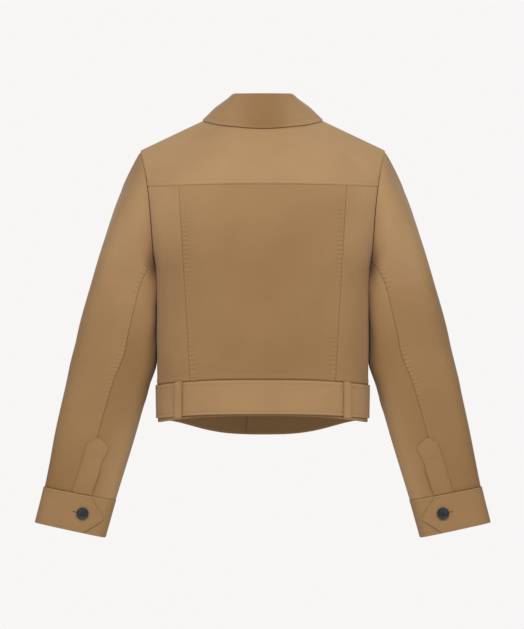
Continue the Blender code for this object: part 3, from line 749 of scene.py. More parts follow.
def yoke_surface(u, v, lift):
    across, rise = 2 * u - 1, closer_above(v)
    height = mix(yoke_seam(SHOULDER_END), SHOULDER_TIP, rise)
    for _ in range(3):
        x = across * armhole_back(height)
        height = mix(yoke_seam(x) + SEAM / 2, neck_line(1, x) - SHOULDER_DROP, rise)
    limit = edge_angle(1, height)
    return raised(1, min(max(torso_angle(x, height), -limit), limit), height, lift)


YOKE_CREASES = [
    Crease(-0.150, 0.060, 62, 0.070, 0.010, -0.0007),
    Crease(0.146, 0.055, 116, 0.085, 0.012, -0.0008),
    Crease(0.030, 0.050, 8, 0.120, 0.016, 0.0004),
]
lay(
    "back_yoke",
    yoke_surface,
    around(SEWN, SEWN, PRESSED, SEWN),
    rows=[Row("bottom", YOKE_ROW)],
    creases=YOKE_CREASES,
    # The yoke is painted paler, as the light from above falls on it.
    shade=PaintedShade(0.90, 1.00, 1.00, 1.00),
)

# %% [markdown]
# Below the yoke are a centre panel and two side panels. The long seams between them are topstitched on the
# centre panel, and the stitching puckers. The row above the belt is sewn on all three.

# %% The back panels
PUCKERED = Edge("seam", 0.0003, 0.00050, 0.0002, 0.0022, 0.1)
BACK_CREASES = [
    Crease(-0.070, 0.045, 84, 0.090, 0.012, -0.0006),
    Crease(0.020, 0.060, 92, 0.120, 0.016, 0.0006),
    Crease(0.078, 0.040, 98, 0.075, 0.011, -0.0006),
    Crease(-0.020, 0.190, 70, 0.140, 0.022, 0.0005),
]
SIDE_CREASES = {
    1: [
        Crease(0.012, 0.120, 91, 0.230, 0.016, 0.0028),
        Crease(-0.034, 0.144, 96, 0.080, 0.012, -0.0012),
        Crease(-0.010, 0.180, 100, 0.120, 0.014, 0.0009),
        Crease(0.004, 0.030, 62, 0.070, 0.013, -0.0014),
        Crease(-0.014, 0.080, 92, 0.070, 0.009, 0.0006),
    ],
    -1: [
        Crease(0.012, 0.125, 90, 0.240, 0.016, 0.0026),
        Crease(-0.006, 0.235, 80, 0.070, 0.014, 0.0010),
        Crease(-0.030, 0.180, 84, 0.090, 0.010, -0.0008),
        Crease(0.006, 0.110, 94, 0.100, 0.010, 0.0007),
        Crease(-0.006, 0.034, 112, 0.075, 0.013, -0.0013),
    ],
}


def back_centre_surface(u, v, lift):
    level = mix(WAIST_SEAM, YOKE_SEAM, v)
    x = (princess(level) - SEAM / 2) * (2 * u - 1)
    height = back_height(x, level, v)
    return raised(1, torso_angle(x, height), height, lift)


def back_side_surface(side):
    def surface(u, v, lift):
        level = mix(WAIST_SEAM, YOKE_SEAM, v)
        seam_x = princess(level) + SEAM / 2
        across = mix(torso_angle(seam_x, level), edge_angle(1, level), u)
        height = back_height(torso(1, across, level).x, level, v)
        angle = mix(torso_angle(seam_x, height), edge_angle(1, height), u)
        return raised(1, side * angle, height, lift)

    return surface


SIDES = ((1, "left"), (-1, "right"))
WAIST_ROW = 0.0062
LONG_ROW = 0.0072
lay(
    "back_centre",
    back_centre_surface,
    around(PUCKERED, PUCKERED, PRESSED, SEWN),
    rests_on=["back_yoke_cloth"],
    rows=[Row("left", LONG_ROW), Row("right", LONG_ROW), Row("bottom", WAIST_ROW)],
    creases=BACK_CREASES,
    step_up=PUCKER_STEP,
    # The centre panel has painted shade, paler towards its long seams and upwards.
    shade=PaintedShade(-0.45, -0.50, -0.30, 0.20, middle=-0.30, width=0.09),
)
for side, hand in SIDES:
    lay(
        f"back_side_{hand}",
        back_side_surface(side),
        around(SEWN, SEWN, PRESSED, SEWN),
        rests_on=["back_yoke_cloth"],
        rows=[Row("bottom", WAIST_ROW)],
        creases=SIDE_CREASES[side],
        # The side panels have painted light, paler upwards and towards the armhole.
        shade=PaintedShade(-0.45, -0.05, 0.60, 0.80, side=0.60),
    )

# %% [markdown]
# The fronts don't show in the photograph, so they are finished plainly: the left one laps over the right
# one, with a stitched edge. They hang from the shoulder seams, and a few soft creases run from the armholes
# and from the waist as they do behind.

# %% The fronts
BUTTON_STAND = 0.026
OVERLAP_LIFT = 0.0024
OVERLAP_START = 0.075
NECK_COLUMNS = 0.42
FRONT_ROW = 0.0062
FRONT_CREASES = {
    1: [
        Crease(0.060, 0.200, 40, 0.110, 0.014, -0.0012),
        Crease(0.030, 0.060, 96, 0.110, 0.016, 0.0010),
        Crease(-0.030, 0.120, 78, 0.140, 0.018, -0.0007),
    ],
    -1: [
        Crease(0.052, 0.185, 48, 0.090, 0.012, -0.0011),
        Crease(0.010, 0.070, 88, 0.130, 0.018, 0.0009),
        Crease(-0.020, 0.150, 100, 0.120, 0.016, -0.0007),
    ],
}


def overlap_lift(side, x):
    """The left front stands off the right one where they overlap."""
    if side < 0:
        return 0.0
    return OVERLAP_LIFT * float(ease((OVERLAP_START - x) / (OVERLAP_START - BUTTON_STAND)))


def front_surface(side):
    first = -torso_angle(BUTTON_STAND, WAIST_SEAM)
    waist_half = half_width(WAIST_SEAM)

    def surface(u, v, lift):
        if u < NECK_COLUMNS:
            top_x = mix(-BUTTON_STAND, NECK_HALF, u / NECK_COLUMNS)
        else:
            top_x = mix(NECK_HALF, SHOULDER_END, (u - NECK_COLUMNS) / (1 - NECK_COLUMNS))
        rise = closer_above(v)
        level = mix(WAIST_SEAM, SHOULDER_TIP, rise)
        bottom_x = waist_half * power(math.sin(mix(first, math.pi / 2, u)), 2 / ROUNDNESS)
        share = mix(
            (bottom_x + BUTTON_STAND) / (waist_half + BUTTON_STAND),
            (top_x + BUTTON_STAND) / (SHOULDER_END + BUTTON_STAND),
            rise * rise,
        )
        x = mix(-BUTTON_STAND, torso(-1, edge_angle(-1, level), level).x, share)
        top = neck_line(-1, max(top_x, 0.0)) - SHOULDER_DROP
        bottom = WAIST_SEAM + waist_shift(-1, torso_angle(x, WAIST_SEAM)) + SEAM / 2
        height = mix(bottom, top, rise)
        angle = edge_angle(-1, height) if u == 1 else torso_angle(x, height)
        return mirrored(raised(-1, angle, height, overlap_lift(side, x) + lift), side)

    return surface


for side, hand in SIDES:
    lay(
        f"front_{hand}",
        front_surface(side),
        around(FOLDED, SEWN, PRESSED, SEWN),
        rests_on=["back_yoke_cloth"],
        rows=[Row("left", FRONT_ROW), Row("bottom", WAIST_ROW)],
        creases=FRONT_CREASES[side],
    )

# %% [markdown]
# A double band closes the lower edge of the body. It is higher behind than in front, so from behind
# the inside of its front shows below the belt. Its lower edge is a fold with a row of stitches.

# %% The waistband
BAND_OVERLAP = 1.4
HEM_ROW = 0.0050


def waistband_back_surface(u, v, lift):
    angle = (math.pi / 2 - HALF_SEAM_ANGLE) * (2 * u - 1)
    hem = HEM + HEM_RISE_BACK * math.cos(angle) ** 2
    height = mix(hem, WAIST_SEAM - SEAM / 2, v) + waist_shift(1, angle)
    return raised(1, angle, height, lift)


def waistband_front_surface(side):
    first = -torso_angle(BUTTON_STAND, HEM)

    def surface(u, v, lift):
        angle = mix(first, math.pi / 2 - HALF_SEAM_ANGLE, u)
        height = mix(HEM, WAIST_SEAM - SEAM / 2, v) + waist_shift(-1, angle)
        over = overlap_lift(side, torso(-1, angle, height).x) * BAND_OVERLAP
        return mirrored(raised(-1, angle, height, over + lift), side)

    return surface


lay(
    "waistband_back",
    waistband_back_surface,
    around(SEWN, SEWN, FOLDED, SEWN),
    rests_on=["back_centre_cloth"],
    rows=[Row("bottom", HEM_ROW)],
    thickness=DOUBLE_CLOTH,
)
for side, hand in SIDES:
    lay(
        f"waistband_{hand}",
        waistband_front_surface(side),
        around(FOLDED, SEWN, FOLDED, SEWN),
        rests_on=[f"front_{hand}_cloth"],
        rows=[Row("bottom", HEM_ROW), Row("left", HEM_ROW, HEM_ROW)],
        thickness=DOUBLE_CLOTH,
    )

# %% [markdown]
# The belt is one strip that goes all round, through a loop on each side of the back. It bulges a little
# between the loops, and its pointed left end lies on its right end in front. The loops are narrow
# strips sewn down above and below it.

# %% The belt and its loops
BELT_TOP = -0.4435
BELT_BOTTOM = -0.4965
BELT_CLEARANCE = 0.0009
BELT_BULGE = 0.0020
BELT_FLARE = 0.0080
BELT_END_LIFT = 0.0030
BELT_RAMP_START = 0.68
BELT_RAMP = 0.36
BELT_TIP_X = -0.112
BELT_TIP_LENGTH = 0.022
BELT_UNDER_X = 0.030
BELT_BUTTON_X = -0.074
BELT_ROW = 0.0058
LOOP_X = 0.132
LOOP_WIDTH = 0.0125
LOOP_TOP = -0.4408
LOOP_BOTTOM = -0.5008
LOOP_TURN = 0.72
LOOP_CLEARANCE = 0.0005
LOOP_STAND = 0.0045
LOOP_STEEPNESS = 24
LOOP_ROW = 0.0024
LOOP_STEP = 0.0025
# The belt and loops are painted paler, as lit from above where they stand off the body.
BELT_PAINTED_LIGHT = PaintedShade(*[0.45] * 4)


def outward(facing, angle):
    """The level direction away from the body at the waist."""
    sideways = power(math.sin(angle), 2 - 2 / ROUNDNESS) / TORSO[1].half_width
    deep = facing * power(math.cos(angle), 2 - 2 / ROUNDNESS) / TORSO[1].back_depth
    return Vector((sideways, deep, 0)).normalized()


def belt_point(turn, v, lift):
    """Turn runs from 0 in the middle of the back, to the wearer's left and on round the front."""
    turn = (turn + math.pi) % (2 * math.pi) - math.pi
    facing = 1 if abs(turn) <= math.pi / 2 else -1
    angle = turn if facing > 0 else math.copysign(math.pi - abs(turn), turn)
    height = mix(BELT_BOTTOM, BELT_TOP, v) + waist_shift(facing, angle)
    return torso(facing, angle, height) + outward(facing, angle) * lift


def front_turn(x):
    return math.pi - torso_angle(x, BELT_BOTTOM)


def belt_lift(turn, v):
    """How far the belt's outside stands off the body, most at its lower edge between the loops."""
    between = max(0.0, math.cos(turn / LOOP_TURN * math.pi / 2)) if abs(turn) < LOOP_TURN else 0.0
    left_front = float(ease((turn - math.pi + BELT_RAMP_START) / BELT_RAMP))
    right_front = float(ease((-turn - math.pi + BELT_RAMP_START) / BELT_RAMP))
    lift = DOUBLE_CLOTH + BELT_CLEARANCE + (BELT_BULGE + BELT_FLARE * (1 - v)) * between
    return lift + OVERLAP_LIFT * BAND_OVERLAP * max(left_front, right_front) + BELT_END_LIFT * left_front


BELT_START = front_turn(BELT_UNDER_X) - 2 * math.pi
BELT_TIP = front_turn(BELT_TIP_X)
BELT_TIP_TURN = BELT_TIP_LENGTH / TORSO[1].half_width
BELT_MIDDLE = -0.041


def belt_surface(u, v, lift):
    turn = mix(BELT_START, BELT_TIP - BELT_TIP_TURN * abs(2 * v - 1), u)
    return belt_point(turn, v, belt_lift(turn, v) + lift)


def loop_surface(side):
    def surface(u, v, lift):
        x = side * LOOP_X + LOOP_WIDTH * (u - 0.5)
        level = mix(LOOP_BOTTOM, LOOP_TOP, v)
        angle = torso_angle(x, level)
        over = float(ease(v * LOOP_STEEPNESS) * ease((1 - v) * LOOP_STEEPNESS))
        stand = CLOTH + LOOP_CLEARANCE + LOOP_STAND * over + lift
        return torso(1, angle, level + waist_shift(1, angle)) + outward(1, angle) * stand

    return surface


ALL_FOLDED = around(FOLDED, FOLDED, FOLDED, FOLDED)
# The loops' long folded sides carry a painted shadow beside them.
LOOP_EDGE_PAINTED_SHADOW = Edge("fold", rub=-0.7)
BELT_CREASES = [
    Crease(BELT_MIDDLE + 0.116, 0.024, 42, 0.036, 0.008, -0.0010),
    Crease(BELT_MIDDLE + 0.098, 0.020, 30, 0.050, 0.009, 0.0006),
    Crease(BELT_MIDDLE + 0.010, 0.016, 2, 0.120, 0.011, 0.0007),
    Crease(BELT_MIDDLE - 0.082, 0.040, -8, 0.052, 0.006, -0.0006),
    Crease(BELT_MIDDLE - 0.112, 0.024, 130, 0.034, 0.008, -0.0009),
    Crease(BELT_MIDDLE - 0.330, 0.026, 80, 0.040, 0.010, -0.0007),
    Crease(BELT_MIDDLE + 0.300, 0.024, 98, 0.036, 0.009, -0.0007),
]
lay(
    "belt",
    belt_surface,
    ALL_FOLDED,
    rests_on=["belt_loop_left_cloth", "belt_loop_right_cloth"],
    rows=[Row(edge, BELT_ROW, BELT_ROW, BELT_ROW) for edge in ("bottom", "top", "right")],
    creases=BELT_CREASES,
    shade=BELT_PAINTED_LIGHT,
    thickness=DOUBLE_CLOTH,
    pointed="right",
)
for side, hand in SIDES:
    lay(
        f"belt_loop_{hand}",
        loop_surface(side),
        around(LOOP_EDGE_PAINTED_SHADOW, LOOP_EDGE_PAINTED_SHADOW, FOLDED, FOLDED),
        rests_on=["waistband_back_cloth"],
        rows=[Row(edge, LOOP_ROW) for edge in ("left", "right", "top", "bottom")],
        step=LOOP_STEP,
        shade=BELT_PAINTED_LIGHT,
    )

# %% [markdown]
# The collar is a stand, which is an upright band on the neck seam, and a fall that rolls over from the
# stand and lies on the shoulders. A table gives the fold and the outer edge at turns round the neck, and
# a smooth curve through a few points across it makes the roll.

# %% The collar
Collar = namedtuple("Collar", "turn fold_x fold_y fold_z edge_x edge_z bulge lift")
COLLAR = [
    Collar(-45, -0.0385, 0.0450, 0.0254, -0.0600, -0.0300, 0.002, 0.0010),
    Collar(0, 0.0000, 0.0640, 0.0239, 0.0000, -0.0363, 0.002, 0.0012),
    Collar(45, 0.0385, 0.0450, 0.0254, 0.0600, -0.0300, 0.002, 0.0010),
    Collar(66, 0.0469, 0.0255, 0.0268, 0.0821, -0.0238, 0.002, 0.0006),
    Collar(82, 0.0498, 0.0075, 0.0262, 0.0945, -0.0186, 0.002, 0.0003),
    Collar(90, 0.0505, -0.0020, 0.0245, 0.0968, -0.0145, 0.002, 0.0002),
    Collar(130, 0.0440, -0.0530, 0.0000, 0.0900, -0.0700, 0.007, 0.0022),
    Collar(168, 0.0150, -0.0800, -0.0430, 0.0520, -0.1240, 0.011, 0.0032),
]
fold_x, fold_y, fold_z, collar_edge_x, collar_edge_z, collar_bulge, collar_lift = columns(COLLAR)
COLLAR_END = COLLAR[-1].turn
RIDGE_TURN = 90
ROLL_RADIUS = 0.0026
STAND_SEAM_DROP = 0.008
COLLAR_LEAN = 0.35
COLLAR_RISE = 0.6
COLLAR_ROW = 0.0098
COLLAR_ROW_END = 0.02
COLLAR_STEP = 0.0035


def collar_out(turn):
    turn = math.radians(turn)
    return Vector((math.sin(turn), math.cos(turn), 0))


def collar_edge(turn):
    """The collar's outer edge, on the shoulder and just off it."""
    x = collar_edge_x(turn)
    facing = 1 if turn <= RIDGE_TURN else -1
    height = min(collar_edge_z(turn), ridge(x) - SHOULDER_DROP)
    off = (collar_out(turn) * COLLAR_LEAN + UP).normalized()
    return torso(facing, torso_angle(x, height), height) + off * (collar_lift(turn) + CLOTH)


def neck_seam(turn):
    facing = 1 if turn <= RIDGE_TURN else -1
    x = NECK_HALF * min(math.sin(math.radians(turn)), 0.99999)
    height = neck_line(facing, x)
    return torso(facing, torso_angle(x, height), height)


def stand_line(turn):
    """The neck end and the fold end of the inner leaf, and where the fall is sewn to the stand."""
    out = collar_out(turn)
    bottom = neck_seam(turn) + UP * (CLOTH + SEAM) - out * CLOTH
    fold = Vector((fold_x(turn), fold_y(turn), fold_z(turn)))
    top = fold - (out + UP) * ROLL_RADIUS
    return bottom, top, top + (bottom - top).normalized() * STAND_SEAM_DROP


@lru_cache(maxsize=None)
def collar_profile(turn):
    """A curve across the fall from its outer edge, over the fold and down to the stand."""
    edge, out = collar_edge(turn), collar_out(turn)
    fold = Vector((fold_x(turn), fold_y(turn), fold_z(turn)))
    bottom, rise, seam = stand_line(turn)
    drop = fold + (out - UP) * ROLL_RADIUS
    middle = mix(drop, edge, 0.5) + (out + UP * COLLAR_RISE) * collar_bulge(turn)
    end = seam + (rise - bottom).normalized() * SEAM / 2
    points = [edge, mix(edge, middle, 0.5), middle, mix(middle, drop, 0.45), drop, fold, rise, end]
    lengths = [0.0]
    for before, after in zip(points, points[1:]):
        lengths.append(lengths[-1] + (after - before).length)
    return smooth([length / lengths[-1] for length in lengths], points)


def moved_out(leaf, u, v, lift):
    """A point of a surface of two shares, moved along its normal."""
    step = 0.004
    aside = leaf(u + step, v) - leaf(u - step, v)
    up = leaf(u, min(v + step, 1)) - leaf(u, max(v - step, 0))
    return leaf(u, v) + aside.cross(up).normalized() * lift


def fall_leaf(u, v):
    turn = (2 * u - 1) * COLLAR_END
    return mirrored(collar_profile(abs(turn))(v), -math.copysign(1, turn))


def stand_leaf(u, v):
    turn = (2 * u - 1) * COLLAR_END
    bottom, top, seam = stand_line(abs(turn))
    end = seam + (bottom - top).normalized() * SEAM / 2
    return mirrored(mix(bottom, end, v), -math.copysign(1, turn))


lay(
    "collar_fall",
    lambda u, v, lift: moved_out(fall_leaf, u, v, lift),
    around(FOLDED, FOLDED, FOLDED, SEWN),
    rests_on=["back_yoke_cloth"],
    rows=[
        Row("bottom", COLLAR_ROW, COLLAR_ROW, COLLAR_ROW),
        Row("left", COLLAR_ROW, COLLAR_ROW, COLLAR_ROW_END),
        Row("right", COLLAR_ROW, COLLAR_ROW, COLLAR_ROW_END),
    ],
    step=COLLAR_STEP,
    # Painted light on the collar's sides and painted shade across its middle.
    shade=PaintedShade(1.0, 1.0, 1.0, 1.0, middle=-1.9),
)
lay(
    "collar_stand",
    lambda u, v, lift: moved_out(stand_leaf, u, v, CLOTH + lift),
    around(FOLDED, FOLDED, SEWN, SEWN),
    rests_on=["back_yoke_cloth"],
)

# %% [markdown]
# A sleeve is a tube in two panels. Rings given by a table shape it from the upper arm to the cuff, and
# above them a smooth cap joins the first ring to the armhole. The seam down the back is topstitched on
# the large panel and puckers, and soft creases bend round the elbow and under the arm.

# %% The shape of the sleeves
Ring = namedtuple("Ring", "along outer_x outer_z inner_x inner_z half_depth middle_y tilt back_seam")
SLEEVE = [
    Ring(0.00, 0.2755, -0.2720, 0.1716, -0.2980, 0.070, -0.012, 0.00, 116),
    Ring(0.18, 0.2940, -0.3350, 0.1712, -0.3620, 0.066, -0.015, 0.00, 107),
    Ring(0.31, 0.3050, -0.3790, 0.1716, -0.4060, 0.062, -0.018, 0.00, 103),
    Ring(0.44, 0.3140, -0.4190, 0.1850, -0.4470, 0.057, -0.020, 0.00, 99),
    Ring(0.70, 0.3340, -0.5080, 0.2095, -0.5330, 0.044, -0.0215, 0.00, 96),
    Ring(1.00, 0.3545, -0.6090, 0.2395, -0.6310, 0.034, -0.023, 0.03, 96),
    Ring(1.18, 0.3690, -0.6680, 0.2570, -0.6925, 0.035, -0.024, 0.06, 96),
]
outer_x, outer_z, inner_x, inner_z, half_depth, middle_y, ring_tilt, ring_back_seam = columns(SLEEVE)
CUFF_END = SLEEVE[-1].along
SLEEVE_ROUNDNESS = 3.6
CAP_SHARE = 0.38
ARMHOLE_POINTS = 80
ARMHOLE_SEAM_DEG = 150
FRONT_SEAM_DEG = 242
CAP_STARTS = {
    "top": Vector((0.50, 0.00, -0.86)),
    "back": Vector((0.82, 0.34, -0.46)),
    "under": Vector((0.18, -0.36, -0.92)),
    "front": Vector((0.82, -0.34, -0.46)),
}
ARM_DIRECTION = Vector((0.27, 0.0, -0.96))
ARMHOLE_GAP_TOP = 0.0010
ARMHOLE_GAP_SIDE = 0.0005
SLEEVE_SEAM_DEG = 0.15
SLEEVE_END_GAP = 0.0004


def armhole_curve(facing):
    """A curve down the armhole seam, by its share of the length from the shoulder to the underarm."""
    heights = np.linspace(SHOULDER_TIP, UNDERARM, ARMHOLE_POINTS + 1)
    points = [torso(facing, edge_angle(facing, height), height) for height in heights]
    lengths = lengths_along(np.array([points]))[0]
    return smooth(list(lengths / lengths[-1]), points)


armhole_curves = {1: armhole_curve(1), -1: armhole_curve(-1)}


def armhole_point(degrees):
    """A point of the armhole ring: 0 at the shoulder, 90 behind, 180 under the arm, 270 in front."""
    degrees %= 360
    facing, share = (1, degrees / 180) if degrees <= 180 else (-1, (360 - degrees) / 180)
    return armhole_curves[facing](share)


def ring_point(place, degrees, lift=0.0):
    """A point of a sleeve or cuff ring, moved out by lift."""
    outer = Vector((outer_x(place), 0, outer_z(place)))
    inner = Vector((inner_x(place), 0, inner_z(place)))
    centre = (outer + inner) / 2 + Vector((0, middle_y(place), 0))
    half = (outer - inner) / 2
    cos, sin = math.cos(math.radians(degrees)), math.sin(math.radians(degrees))
    swell = (abs(cos) ** SLEEVE_ROUNDNESS + abs(sin) ** SLEEVE_ROUNDNESS) ** (-1 / SLEEVE_ROUNDNESS)
    across = half.normalized() * (half.length + lift) * cos * swell
    deep = (half_depth(place) + lift) * sin * swell
    return centre + across + Vector((0, deep, deep * ring_tilt(place)))


def cap_start(degrees):
    """The direction in which the sleeve leaves the armhole."""
    turn = math.radians(degrees)
    shares = {
        "top": max(math.cos(turn), 0) ** 2,
        "back": max(math.sin(turn), 0) ** 2,
        "under": max(-math.cos(turn), 0) ** 2,
        "front": max(-math.sin(turn), 0) ** 2,
    }
    return sum((CAP_STARTS[name] * share for name, share in shares.items()), Vector()).normalized()


def sleeve_point(share, degrees):
    """Share runs from 0 at the armhole to 1 at the cuff."""
    if share >= CAP_SHARE:
        return ring_point((share - CAP_SHARE) / (1 - CAP_SHARE), degrees)
    t = share / CAP_SHARE
    leave = cap_start(degrees)
    top = max(math.cos(math.radians(degrees)), 0.0)
    start = armhole_point(degrees) + leave * mix(ARMHOLE_GAP_SIDE, ARMHOLE_GAP_TOP, top)
    end = ring_point(0.0, degrees)
    reach = (end - start).length
    begin, arrive = leave * reach, ARM_DIRECTION * reach
    point = start * (2 * t**3 - 3 * t**2 + 1) + begin * (t**3 - 2 * t**2 + t)
    return point + end * (3 * t**2 - 2 * t**3) + arrive * (t**3 - t**2)


def sleeve_out(share, degrees, lift):
    turn, step = 1.0, 0.004
    aside = sleeve_point(share, degrees + turn) - sleeve_point(share, degrees - turn)
    down = sleeve_point(share + step, degrees) - sleeve_point(max(share - step, 0), degrees)
    return sleeve_point(share, degrees) + down.cross(aside).normalized() * lift


def back_seam(share):
    """Where the seam down the back of the sleeve lies, in degrees round the ring."""
    if share >= CAP_SHARE:
        return ring_back_seam((share - CAP_SHARE) / (1 - CAP_SHARE))
    return mix(ARMHOLE_SEAM_DEG, SLEEVE[0].back_seam, float(ease(share / CAP_SHARE)))


print("armhole ring at the back:", armhole_point(90))

# %% [markdown]
# Each sleeve is laid as a narrow inner panel and a wide outer one. Ridges high on the inner panel fill the
# valley beside the body. Painted shades make the forearms darker than the upper arms, and paint light
# into the shaded strip beside the body.

# %% Lay the sleeves
SLEEVE_ROW = 0.0052
SLEEVE_STITCHED = Edge("seam", 0.0003, 0.00060, 0.00015, 0.0022, 0.1)
SLEEVE_HEAD = Edge("seam", 0.0, 0.00012, 0.0009, 0.0080)
SLEEVE_PLAIN = Edge("seam", 0.0, 0.0, 0.00015)
TOP_CREASES = {
    1: [
        Crease(0.158, 0.385, 46, 0.055, 0.010, -0.0009),
        Crease(0.120, 0.335, 42, 0.110, 0.018, 0.0006),
        Crease(0.070, 0.255, 24, 0.120, 0.020, -0.0007),
        Crease(0.020, 0.205, -14, 0.110, 0.020, 0.0007),
        Crease(-0.060, 0.290, 8, 0.120, 0.014, -0.0014),
        Crease(0.040, 0.120, 74, 0.130, 0.016, 0.0008),
    ],
    -1: [
        Crease(0.150, 0.360, 52, 0.070, 0.011, -0.0008),
        Crease(0.100, 0.310, 36, 0.120, 0.020, 0.0006),
        Crease(0.060, 0.240, 18, 0.110, 0.018, -0.0007),
        Crease(0.030, 0.180, -10, 0.130, 0.020, 0.0007),
        Crease(-0.050, 0.270, -6, 0.130, 0.013, -0.0013),
        Crease(0.050, 0.100, 82, 0.150, 0.016, 0.0008),
    ],
}
# Painted light and shade on the outer panels: darker forearms and paler upper arms, each arm as the light
# falls on it.
TOP_PAINTED_SHADES = {1: PaintedShade(-1.00, 0.20, 1.00, -0.30), -1: PaintedShade(-0.90, -0.35, 1.00, 0.70)}
VALLEY_RIDGES = [
    Crease(-0.044, 0.360, 90, 0.150, 0.013, 0.0045),
    Crease(0.000, 0.375, 90, 0.100, 0.030, 0.0007),
]
UNDER_CREASES = {
    1: [
        *VALLEY_RIDGES,
        Crease(-0.020, 0.330, 24, 0.100, 0.010, -0.0012),
        Crease(0.005, 0.240, 10, 0.110, 0.012, -0.0013),
        Crease(-0.010, 0.180, -8, 0.100, 0.014, 0.0010),
    ],
    -1: [
        *VALLEY_RIDGES,
        Crease(0.012, 0.345, -22, 0.090, 0.010, -0.0012),
        Crease(-0.042, 0.235, 48, 0.060, 0.009, -0.0010),
        Crease(0.020, 0.250, -6, 0.090, 0.013, -0.0012),
        Crease(0.010, 0.160, 12, 0.090, 0.012, 0.0010),
    ],
}


def sleeve_surface(side, first, last):
    """A panel between two seams, given in degrees at a share along the sleeve."""

    def surface(u, v, lift):
        share = (1 - SLEEVE_END_GAP) * (1 - v)
        degrees = mix(first(share) + SLEEVE_SEAM_DEG, last(share) - SLEEVE_SEAM_DEG, u)
        return mirrored(sleeve_out(share, degrees, lift), side)

    return surface


for side, hand in SIDES:
    lay(
        f"sleeve_under_{hand}",
        sleeve_surface(side, back_seam, lambda share: FRONT_SEAM_DEG),
        around(SLEEVE_PLAIN, SLEEVE_PLAIN, SLEEVE_PLAIN, SLEEVE_HEAD),
        rests_on=[f"back_side_{hand}_cloth"],
        creases=UNDER_CREASES[side],
        # The inner panel has painted shade low down and painted light in a strip beside the body.
        shade=PaintedShade(-1.00, -0.95, 0.05, 0.50, middle=1.8, width=0.035),
    )
    lay(
        f"sleeve_top_{hand}",
        sleeve_surface(side, lambda share: FRONT_SEAM_DEG, lambda share: back_seam(share) + 360),
        around(SLEEVE_PLAIN, SLEEVE_STITCHED, SLEEVE_PLAIN, SLEEVE_HEAD),
        rests_on=["back_yoke_cloth"],
        rows=[Row("right", SLEEVE_ROW)],
        creases=TOP_CREASES[side],
        step_up=PUCKER_STEP,
        shade=TOP_PAINTED_SHADES[side],
    )

# %% [markdown]
# The cuff is a double strip round the wrist. Its pointed end lies on the other end and buttons there.
# Above it, a strip with a pointed top covers the slit in the sleeve, stitched all round and twice
# across below the point.

# %% The cuffs and the vent strips
CUFF_PROUD = 0.0008
CUFF_LAP_LIFT = 0.0030
CUFF_UNDER_DEG = 62
CUFF_RAMP_DEG = 70
CUFF_UNDER_SPARE = 4
TAB_TOP_DEG = 107
TAB_POINT_DEG = 133.5
TAB_BOTTOM_DEG = 110
TAB_POINT_HEIGHT = 0.46
CUFF_ROW = 0.0056
CUFF_STEP = 0.004
# The cuffs are painted a little darker.
CUFF_PAINTED_SHADE = PaintedShade(*[-0.15] * 4)
VENT_WIDTH = 0.030
VENT_TOP = 0.715
VENT_SHOULDER = 0.036
VENT_THICK = 0.0014
VENT_CLEARANCE = 0.0005
VENT_TURN_BOTTOM = -2
VENT_TURN_TOP = 2
VENT_FLARE = 0.0035
VENT_FLARE_START = 0.6
VENT_GAPE = 0.0028
VENT_GAPE_END = 0.66
VENT_ROW = 0.0024
BOX_STITCH_LOW = 0.063
BOX_STITCH_HIGH = 0.071
VENT_STEP = 0.003
VENT_SIDE = Edge("fold", rub=0.0)


def cuff_place(height):
    return mix(CUFF_END, 1.0 + SLEEVE_END_GAP, height)


def tab_end(height):
    """Where the pointed end of the cuff stops, in degrees round the ring."""
    if height < TAB_POINT_HEIGHT:
        return mix(TAB_BOTTOM_DEG, TAB_POINT_DEG, height / TAB_POINT_HEIGHT)
    return mix(TAB_POINT_DEG, TAB_TOP_DEG, (height - TAB_POINT_HEIGHT) / (1 - TAB_POINT_HEIGHT))


def cuff_lift(degrees):
    """The pointed end lies on the other end."""
    lap = (degrees - CUFF_UNDER_DEG + CUFF_RAMP_DEG) / CUFF_RAMP_DEG
    return CUFF_PROUD + CUFF_LAP_LIFT * float(ease(lap))


def cuff_surface(side):
    def surface(u, v, lift):
        degrees = mix(CUFF_UNDER_DEG + CUFF_UNDER_SPARE - 360, tab_end(v), u)
        return mirrored(ring_point(cuff_place(v), degrees, cuff_lift(degrees) + lift), side)

    return surface


def vent_surface(side):
    def surface(u, v, lift):
        top = VENT_TOP + VENT_SHOULDER * abs(2 * u - 1)
        place = mix(1 - SLEEVE_END_GAP, top, v)
        middle = ring_back_seam(place) + mix(VENT_TURN_BOTTOM, VENT_TURN_TOP, v)
        per_degree = (ring_point(place, middle + 1) - ring_point(place, middle)).length
        flare = VENT_FLARE * max(2 * u - 1, 0) * float(ease((v - VENT_FLARE_START) / (1 - VENT_FLARE_START)))
        degrees = middle + (VENT_WIDTH * (u - 0.5) + flare) / per_degree
        gape = VENT_GAPE * float(ease(2 * u - 1)) * math.sin(math.pi * min(v / VENT_GAPE_END, 1))
        return mirrored(ring_point(place, degrees, VENT_THICK + VENT_CLEARANCE + gape + lift), side)

    return surface


